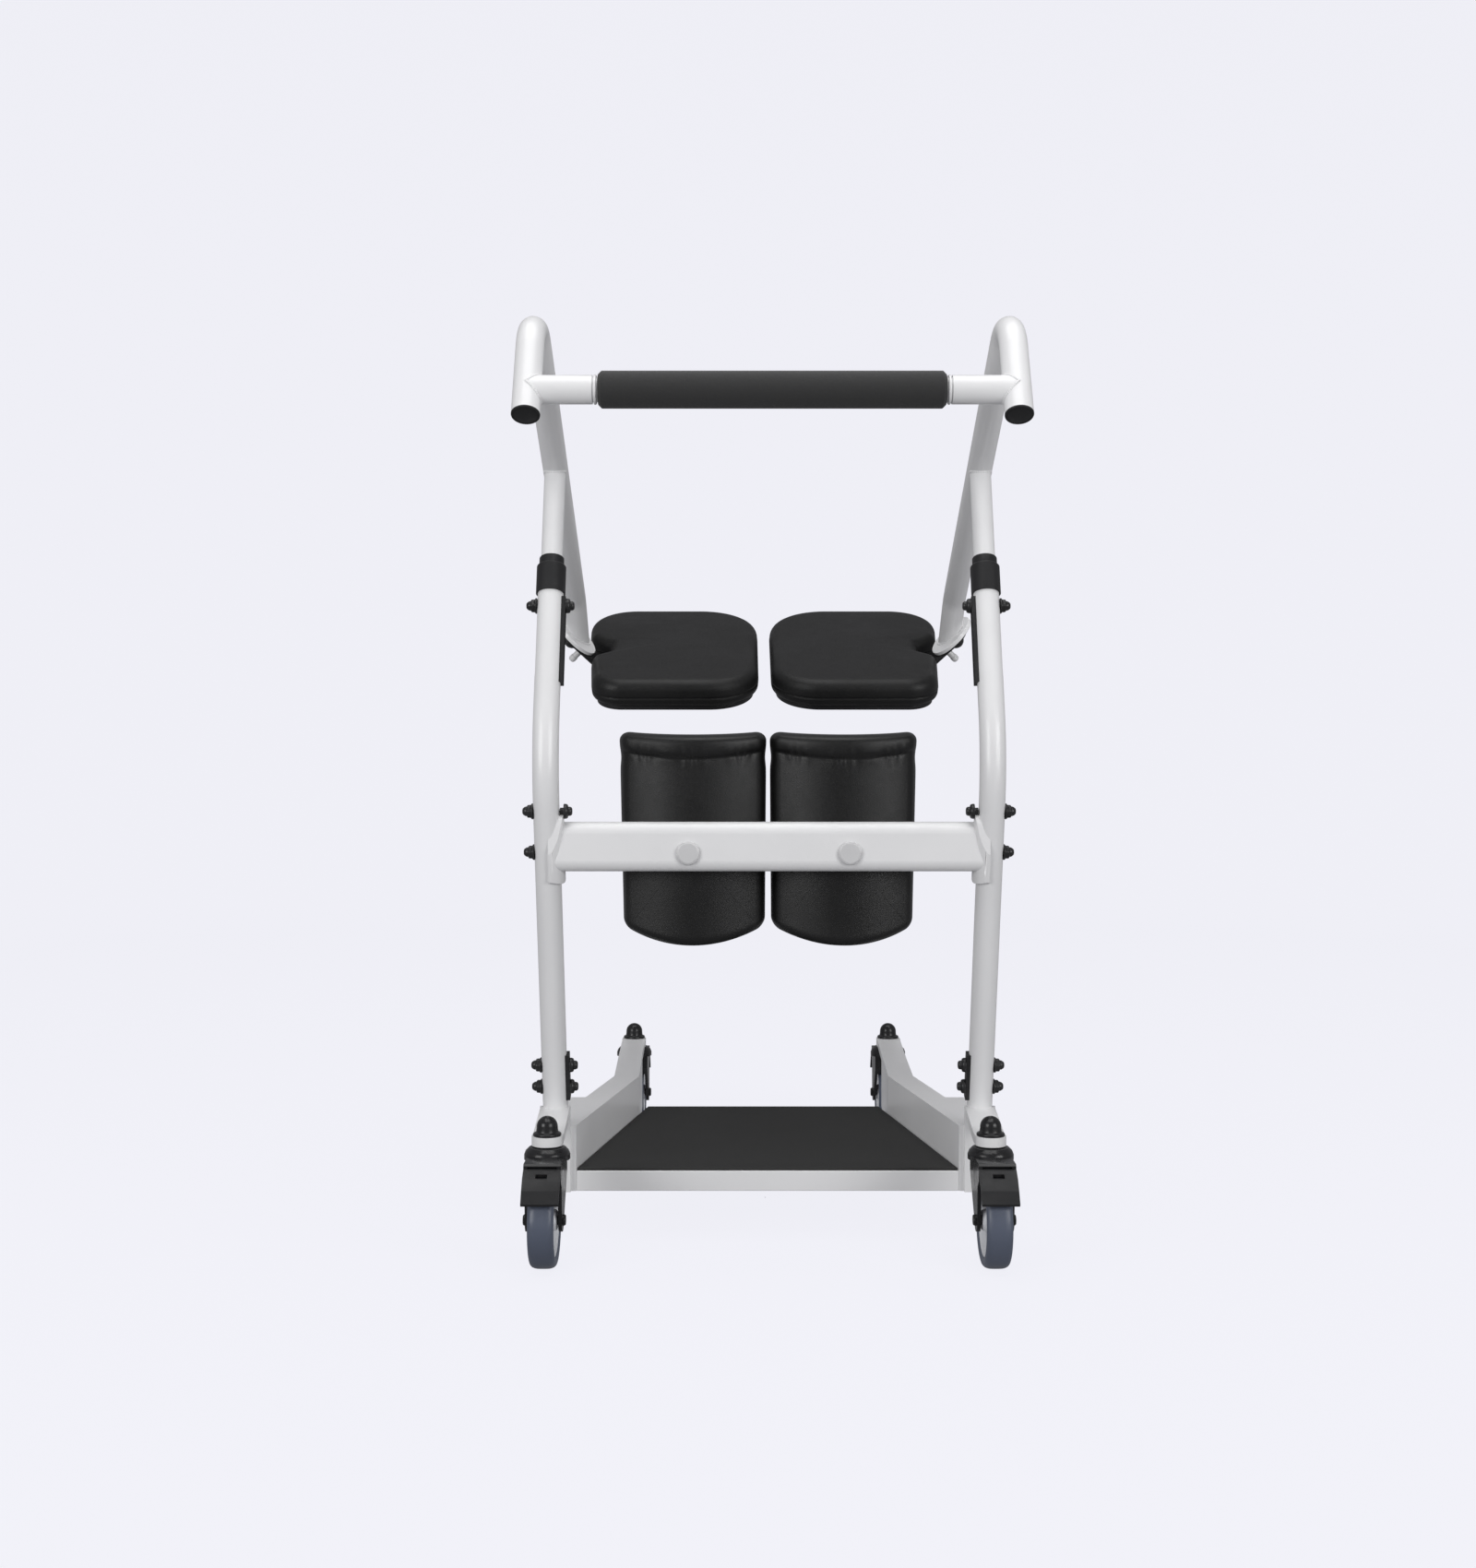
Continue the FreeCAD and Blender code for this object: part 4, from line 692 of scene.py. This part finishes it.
# %% Pad surfaces
def rounded_outline(corners, count):
    """A closed outline through corners (x, y, radius), evenly spaced: straight runs and round arcs."""
    points = []
    corners = np.array(corners, float)
    for i, (x, y, radius) in enumerate(corners):
        p = np.array([x, y])
        a = corners[i - 1, :2] - p
        b = corners[(i + 1) % len(corners), :2] - p
        a, b = a / np.linalg.norm(a), b / np.linalg.norm(b)
        half = math.acos(np.clip(a @ b, -1, 1)) / 2
        centre = p + (a + b) / np.linalg.norm(a + b) * radius / math.sin(half)
        first, last = p + a * radius / math.tan(half) - centre, p + b * radius / math.tan(half) - centre
        t = np.linspace(0, 1, 24)[:, None]
        swing = math.pi - 2 * half
        points.append(centre + (np.sin((1 - t) * swing) * first + np.sin(t * swing) * last) / math.sin(swing))
    line = np.concatenate(points)
    closed = np.concatenate([line, line[:1]])
    along = np.concatenate([[0], np.cumsum(np.linalg.norm(np.diff(closed, axis=0), axis=1))])
    even = np.linspace(0, along[-1], count, endpoint=False)
    return np.stack([np.interp(even, along, closed[:, k]) for k in (0, 1)], 1)


def outward(outline):
    """Unit normals of a closed outline, pointing out of it, smoothed over its neighbours."""
    step = np.roll(outline, -2, 0) - np.roll(outline, 2, 0)
    normal = np.stack([step[:, 1], -step[:, 0]], 1)
    area = (outline[:, 0] * np.roll(outline[:, 1], -1) - np.roll(outline[:, 0], -1) * outline[:, 1]).sum()
    return np.sign(area) * normal / np.linalg.norm(normal, axis=1)[:, None]


def pad_grid(outline, edge, crown_top, crown_low, rings=44):
    """The closed pad: face points are C + k (I - C) for k from 0 to 1, where I is the outline drawn in by
    the edge's first inset. Edge rows are outline - inset normal at their own height. The face stands
    crown (1 - k^2) above its rim."""
    normal = outward(outline)
    rim = outline[None] - edge[:, 0][:, None, None] * normal
    rim_height = np.broadcast_to(edge[:, 1][:, None], (len(edge), len(outline)))
    middle = outline.mean(0)
    k = np.linspace(0, 1, rings, endpoint=False)[:, None, None]
    top = middle + k * (rim[0] - middle)
    low = middle + k[::-1] * (rim[-1] - middle)
    height_top = edge[0, 1] + crown_top * (1 - k[..., 0] ** 2) * np.ones(len(outline))
    height_low = edge[-1, 1] - crown_low * (1 - k[::-1, :, 0] ** 2) * np.ones(len(outline))
    flat = np.concatenate([top, rim, low])
    height = np.concatenate([height_top, rim_height, height_low])
    return np.concatenate([flat, height[..., None]], -1)


# %% [markdown]
# ## Seat halves
# Each half is a moulded foam pad under grained black vinyl, pulled down over a board. The top is crowned,
# the front edge is thick and round, a seam runs round the side, and the outer edge is hollowed for the
# hinge. The seat lies on its own slope, which comes from the hinge's axis.

# %% Seat halves
EDGE_FRONT, EDGE_REAR, SEAT_FAR, SEAT_HALF = 0.0265, 0.0065, 0.2285, 0.137
SEAT_TOP, SEAT_THICK, SEAM_DOWN = -0.0082, 0.036, 0.0246
DENT_DEEP, DENT_HALF = 0.0255, 0.041

hinge = JOINTS["seat_swing_left"]
pivot = np.array(hinge["pos_m"])
seat_in = np.array([1.0, 0, 0])
seat_up = np.array(hinge["axis"]) * math.sqrt(2) - seat_in
seat_back = np.cross(seat_up, seat_in)
outline = rounded_outline([(EDGE_REAR, SEAT_HALF, 0.060), (SEAT_FAR, SEAT_HALF, 0.075),
                           (SEAT_FAR, -SEAT_HALF, 0.060), (EDGE_FRONT, -SEAT_HALF, 0.038)], 360)
hollow = 0.5 + 0.5 * np.cos(math.pi * outline[:, 1] / DENT_HALF)
dent = np.where(np.abs(outline[:, 1]) < DENT_HALF, hollow, 0.0)
dent = np.where(outline[:, 0] < EDGE_FRONT + 0.03, np.minimum(dent * 1.35, 1.0), 0.0)
outline[:, 0] += DENT_DEEP * dent
theta = np.linspace(0, math.pi / 2, 9)
top_round = np.stack([0.014 * (1 - np.sin(theta)), -0.0035 - 0.015 * (1 - np.cos(theta))], 1)
low_round = np.stack([0.007 * (1 - np.cos(theta)), -SEAT_THICK + 0.008 * (1 - np.sin(theta))], 1)
side = np.array([(-0.0004, -0.0215), (-0.0004, -0.0232), (0.0004, -0.0240), (0.0013, -SEAM_DOWN),
                 (0.0004, -0.0252), (-0.0002, -0.0260)])
edge = np.concatenate([top_round, side, low_round])
grid = pad_grid(outline, edge, 0.0035, 0.0)
across, back, up = grid[..., 0], grid[..., 1], grid[..., 2]
pucker = 0.00035 * np.sin(back * 420 + 2 * np.sin(back * 90)) * np.sin(across * 390 + 1.3)
near_seam = np.exp(-((up + SEAM_DOWN) / 0.006) ** 2)
grid[..., 2] = up + pucker * near_seam
world = (pivot + grid[..., :1] * seat_in + grid[..., 1:2] * seat_back
         + (grid[..., 2:] + SEAT_TOP) * seat_up)
for side_name, grids in (("left", [world]), ("right", mirrored([world]))):
    seat = piece("seat_pad_" + side_name, "seat_" + side_name, FINISH["seat_vinyl"], grids)
    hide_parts("seat_cushion_" + side_name)
print("seat halves", round(SEAT_FAR - EDGE_FRONT, 3), "m wide")

# %% [markdown]
# ## Knee pads
# A knee pad is a piece of a wide tube, hollow towards the shin. One skin of vinyl goes all round the foam and
# its shell. It is rolled over at the top and tucked in under the roll, so there is a lip with a crease and
# small wrinkles below it. The outer side tapers more than the inner one.

# %% Knee pads
low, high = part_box("knee_pad_left")
shell_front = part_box("knee_pad_shell_left")[0].y
pad_x, pad_half = (low.x + high.x) / 2, (high.x - low.x) / 2
pad_top, pad_tall = high.z, high.z - low.z
KNEE_SAG, SHELL_THICK, KNEE_PAD_THICK = 0.026, 0.005, 0.030
LIP_TALL, LIP_OUT, TOP_HOLLOW, BOTTOM_SAG = 0.026, 0.0048, 0.005, 0.0203
COVER_THICK = SHELL_THICK + KNEE_PAD_THICK
curve_r = (pad_half ** 2 + KNEE_SAG ** 2) / (2 * KNEE_SAG)
axis_y = shell_front + curve_r
outline = rounded_outline([(-pad_half, 0, 0.013), (pad_half, 0, 0.013), (pad_half, -pad_tall, 0.010),
                           (-pad_half, -pad_tall, 0.010)], 420)
theta = np.linspace(0, math.pi, 19)
round_edge = np.stack([0.011 * (1 - np.sin(theta) ** 0.6), -0.5 * COVER_THICK * (1 - np.cos(theta))], 1)
grid = pad_grid(outline, round_edge, 0.0, -0.004, 70)
x, z, w = grid[..., 0], grid[..., 1], grid[..., 2]
share = 1 + z / pad_tall
below_top = -z
beside = np.abs(x) / pad_half
pinch = np.exp(-((below_top - LIP_TALL - 0.006) / 0.010) ** 2) * beside ** 4 * 0.0012
x = x * (1 - (1 - share) * np.where(x < 0, 0.060, 0.020) * beside) - np.sign(x) * pinch
drop = -TOP_HOLLOW * share * (1 - beside ** 2) ** 0.7 + BOTTOM_SAG * (1 - share) * beside ** 2
front = np.clip(1 + w / COVER_THICK, 0, 1)
crease_at = LIP_TALL - 0.004 * beside ** 2
roll = np.sqrt(np.clip(1 - ((below_top - 0.5 * crease_at) / (0.55 * crease_at)) ** 2, 0, 1))
crease = np.exp(-((below_top - crease_at - 0.0006 * np.sin(x * 85)) / 0.0020) ** 2) * (1 - 0.7 * beside ** 3)
wrinkle = np.sin(x * 410 + 3 * np.sin(x * 120)) * np.exp(-((below_top - crease_at) / 0.009) ** 2)
push = front * (LIP_OUT * roll - 0.0016 * crease + 0.00045 * wrinkle)
r = curve_r + w + push
y = axis_y - np.sqrt(np.clip(r ** 2 - x ** 2, 0, None))
world = np.stack([pad_x + x, y, pad_top + z + drop], -1)
for side_name, grids in (("left", [world]), ("right", mirrored([world]))):
    knee = piece("knee_pad_cover_" + side_name, "base", FINISH["knee_vinyl"], grids)
    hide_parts("knee_pad_" + side_name, "knee_pad_shell_" + side_name)
print("knee pads", round(2 * pad_half, 3), "m wide and", round(pad_tall, 3), "m tall")

# %% [markdown]
# ## Hinge bolts and stop pins
# A black bolt with a low domed head holds each seat on its disc, and a white pin beside it meets the end of
# a groove when the seat is level. They are turned along the hinge's axis.

# %% Hinge bolts and stop pins
hinge_axis = -np.array(hinge["axis"])
plate_dir = seat_in * math.sqrt(0.5) - seat_up * math.sqrt(0.5)
plate_face, pin_from, pin_to = 0.0115, 0.0023, 0.0315
bolt_line = filleted([(0, 0.0002, 0), (0.004, 0.0002, 0), (0.004, plate_face, 0), (0.009, plate_face, 0.0004),
                      (0.009, plate_face + 0.0042, 0.0012), (0.0062, plate_face + 0.0072, 0.002),
                      (0.0028, plate_face + 0.009, 0.0008), (0.0020, plate_face + 0.0082, 0.0004),
                      (0, plate_face + 0.0078, 0)])
pin_line = filleted([(0, pin_from, 0), (0.004, pin_from, 0.0004), (0.004, plate_face + 0.012, 0.0002),
                     (0.0046, plate_face + 0.0128, 0.0004), (0.0046, pin_to - 0.002, 0.0014),
                     (0.0030, pin_to, 0.001), (0, pin_to, 0)])
bolt_grid = lathe(bolt_line, pivot, hinge_axis)
pin_grid = lathe(pin_line, pivot + plate_dir * 0.017, hinge_axis)
for side_name, flip in (("left", list), ("right", mirrored)):
    bolt = piece("seat_pivot_bolt_" + side_name, "seat_" + side_name, FINISH["black_bolts"],
                 flip([bolt_grid]), sharp=50)
    piece("seat_stop_pin_" + side_name, "seat_" + side_name, FINISH["white_paint"],
          flip([pin_grid]), sharp=50)
    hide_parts("seat_pivot_pins_" + side_name)
print("hinge bolts and stop pins")

# %% [markdown]
# ## Weld beads
# Where tubes meet, a fillet weld runs round the joint under the paint. The line where a tube of radius a
# meets a tube of radius b solves |p - q - ((p - q).d) d| = b for the distance along the first tube, and a
# thin tube with a slight ripple is laid on that line.

# %% Weld beads
BEAD_R, RIPPLE, WAVE_LONG = 0.0013, 0.12, 0.0024


def meeting_line(start, along, a, other, other_dir, b, count=240):
    """Points where the wall of the tube (start, along, radius a) meets the wall of (other, other_dir, b)."""
    along = np.array(along, float) / np.linalg.norm(along)
    other_dir = np.array(other_dir, float) / np.linalg.norm(other_dir)
    u, v = square_to(along)
    angle = np.linspace(0, 2 * math.pi, count, endpoint=False)
    base = np.array(start) + a * (np.cos(angle)[:, None] * u + np.sin(angle)[:, None] * v) - np.array(other)
    flat_base = base - (base @ other_dir)[:, None] * other_dir
    flat_step = along - (along @ other_dir) * other_dir
    qa = flat_step @ flat_step
    qb = 2 * flat_base @ flat_step
    qc = (flat_base ** 2).sum(1) - b ** 2
    root = np.sqrt(np.clip(qb ** 2 - 4 * qa * qc, 0, None))
    reach = (-qb - root) / (2 * qa)
    return base + reach[:, None] * along + np.array(other)


def bead(path):
    """A closed bead along a path, rippled as the puddle froze."""
    steps = np.linalg.norm(np.roll(path, -1, 0) - path, axis=1)
    along = np.cumsum(steps)
    waves = max(8, round(along[-1] / WAVE_LONG))
    ripple = 1 + RIPPLE * np.sin(2 * math.pi * waves * along / along[-1])
    return tube_along(path, BEAD_R * ripple)


def plane_line(through, along, a, point, normal, count=240):
    """Points where the wall of a tube of radius a meets a plane: t = ((point - p).n) / (d.n)."""
    along, normal = np.array(along, float), np.array(normal, float)
    u, v = square_to(along)
    angle = np.linspace(0, 2 * math.pi, count, endpoint=False)
    base = np.array(through) + a * (np.cos(angle)[:, None] * u + np.sin(angle)[:, None] * v)
    t = ((np.array(point) - base) @ normal) / (along @ normal)
    return base + t[:, None] * along


def sloping(degrees):
    """A direction in a side frame's plane: towards the person and down by degrees."""
    return np.array([0, math.cos(math.radians(degrees)), -math.sin(math.radians(degrees))])


TUBE_R, SLEEVE_R, INNER_R = 0.014, 0.014, 0.0117
ARM_SLOPE, ARM_END_SLOPE, LOWER_LEAN, LEG_LEAN = 27.4, 43.0, 16.1, 28.6
INNER_LENGTH, LEG_TOP_Z, START_BACK = 0.192, 0.125, 0.08
frame_x = pivot[0]
sleeve_low, sleeve_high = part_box("handle_sleeves")
sleeve_at = np.array([frame_x, (sleeve_low.y + sleeve_high.y) / 2, (sleeve_low.z + sleeve_high.z) / 2])
leg_dir = np.array([0, -math.sin(math.radians(LEG_LEAN)), -math.cos(math.radians(LEG_LEAN))])
slide = np.array(JOINTS["height_slide"]["axis"])
inner = np.array([v.co for v in frame["nodes"]["inner_tube_left"].data.vertices])
height = inner @ slide
lower_end = inner[height < height.min() + 0.0005].mean(0)
junction = lower_end + INNER_LENGTH * slide
upright = np.array([v.co for v in frame["nodes"]["upright_left"].data.vertices])
foot_at = upright[upright[:, 2] < LEG_TOP_Z + 0.002].mean(0)
foot_dir = np.array([0, -math.sin(math.radians(LOWER_LEAN)), math.cos(math.radians(LOWER_LEAN))])
upper_beads = [
    bead(meeting_line(sleeve_at + np.array([START_BACK, 0, 0]), (-1, 0, 0), SLEEVE_R,
                      sleeve_at, leg_dir, TUBE_R)),
    bead(meeting_line(junction - START_BACK * slide, slide, INNER_R, junction, sloping(ARM_SLOPE), TUBE_R)),
    bead(plane_line(pivot, sloping(ARM_END_SLOPE), TUBE_R, pivot, hinge_axis))]
base_beads = [bead(plane_line(foot_at, foot_dir, TUBE_R, (0, 0, LEG_TOP_Z), (0, 0, 1)))]
for name, body, beads in (("weld_beads_upper", "upper_frame", upper_beads),
                          ("weld_beads_base", "base", base_beads)):
    piece(name, body, FINISH["white_paint"], beads + mirrored(beads), wrap_rows=True)
print(len(upper_beads + base_beads), "weld beads on each side")

# %% [markdown]
# ## Studio
# A pale floor that curves up far behind the object, a broad soft light overhead and two in front. The
# floor and the lights are not part of the object.

# %% Studio
FLOOR_R = 6.0
radii = np.linspace(0.001, FLOOR_R, 60)
rise = np.clip((radii - 3.6) / 2.4, 0, 1) ** 2 * 4.5
bowl_profile = np.stack([radii, rise], 1)
floor_material = bpy.data.materials.new("studio_floor")
floor_material.use_nodes = True
tree = floor_material.node_tree
shader = tree.nodes["Principled BSDF"]
shader.inputs["Base Color"].default_value = (0.05, 0.05, 0.05, 1)
shader.inputs["Roughness"].default_value = 0.9
shader.inputs["Specular IOR Level"].default_value = 0.0
shader.inputs["Emission Color"].default_value = (0.842, 0.842, 0.900, 1)
shader.inputs["Emission Strength"].default_value = 1.0
bowl = bpy.data.meshes.new("studio_floor")
grid = lathe(bowl_profile, (0, 0, 0), (0, 0, 1), 128)
bowl.from_pydata(grid.reshape(-1, 3).tolist(), [], grid_faces(*grid.shape[:2]).tolist())
bowl.shade_smooth()
bowl.materials.append(floor_material)
floor = bpy.data.objects.new("studio_floor", bowl)
bpy.context.scene.collection.objects.link(floor)
floor.visible_diffuse = False
floor.visible_glossy = False
floor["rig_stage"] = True

world = bpy.data.worlds.new("studio_air")
world.use_nodes = True
world.node_tree.nodes["Background"].inputs["Color"].default_value = (0.86, 0.86, 0.90, 1)
world.node_tree.nodes["Background"].inputs["Strength"].default_value = 0.30
bpy.context.scene.world = world
bpy.context.scene.view_settings.view_transform = "Standard"


def soft_light(name, place, size, watts, aim=(0, 0, 0.5)):
    """A square area light that looks at the object."""
    lamp = bpy.data.objects.new(name, bpy.data.lights.new(name, "AREA"))
    lamp.data.size = size
    lamp.data.energy = watts
    lamp.location = place
    lamp.rotation_euler = (Vector(aim) - Vector(place)).to_track_quat("-Z", "Y").to_euler()
    bpy.context.scene.collection.objects.link(lamp)


soft_light("overhead", (0.0, -0.6, 3.2), 2.4, 42)
soft_light("front_left", (-2.4, -2.8, 1.3), 1.8, 48)
soft_light("front_right", (2.4, -2.8, 1.3), 1.8, 48)
print("studio lights are on")

# %% Sizes and end
low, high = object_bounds()
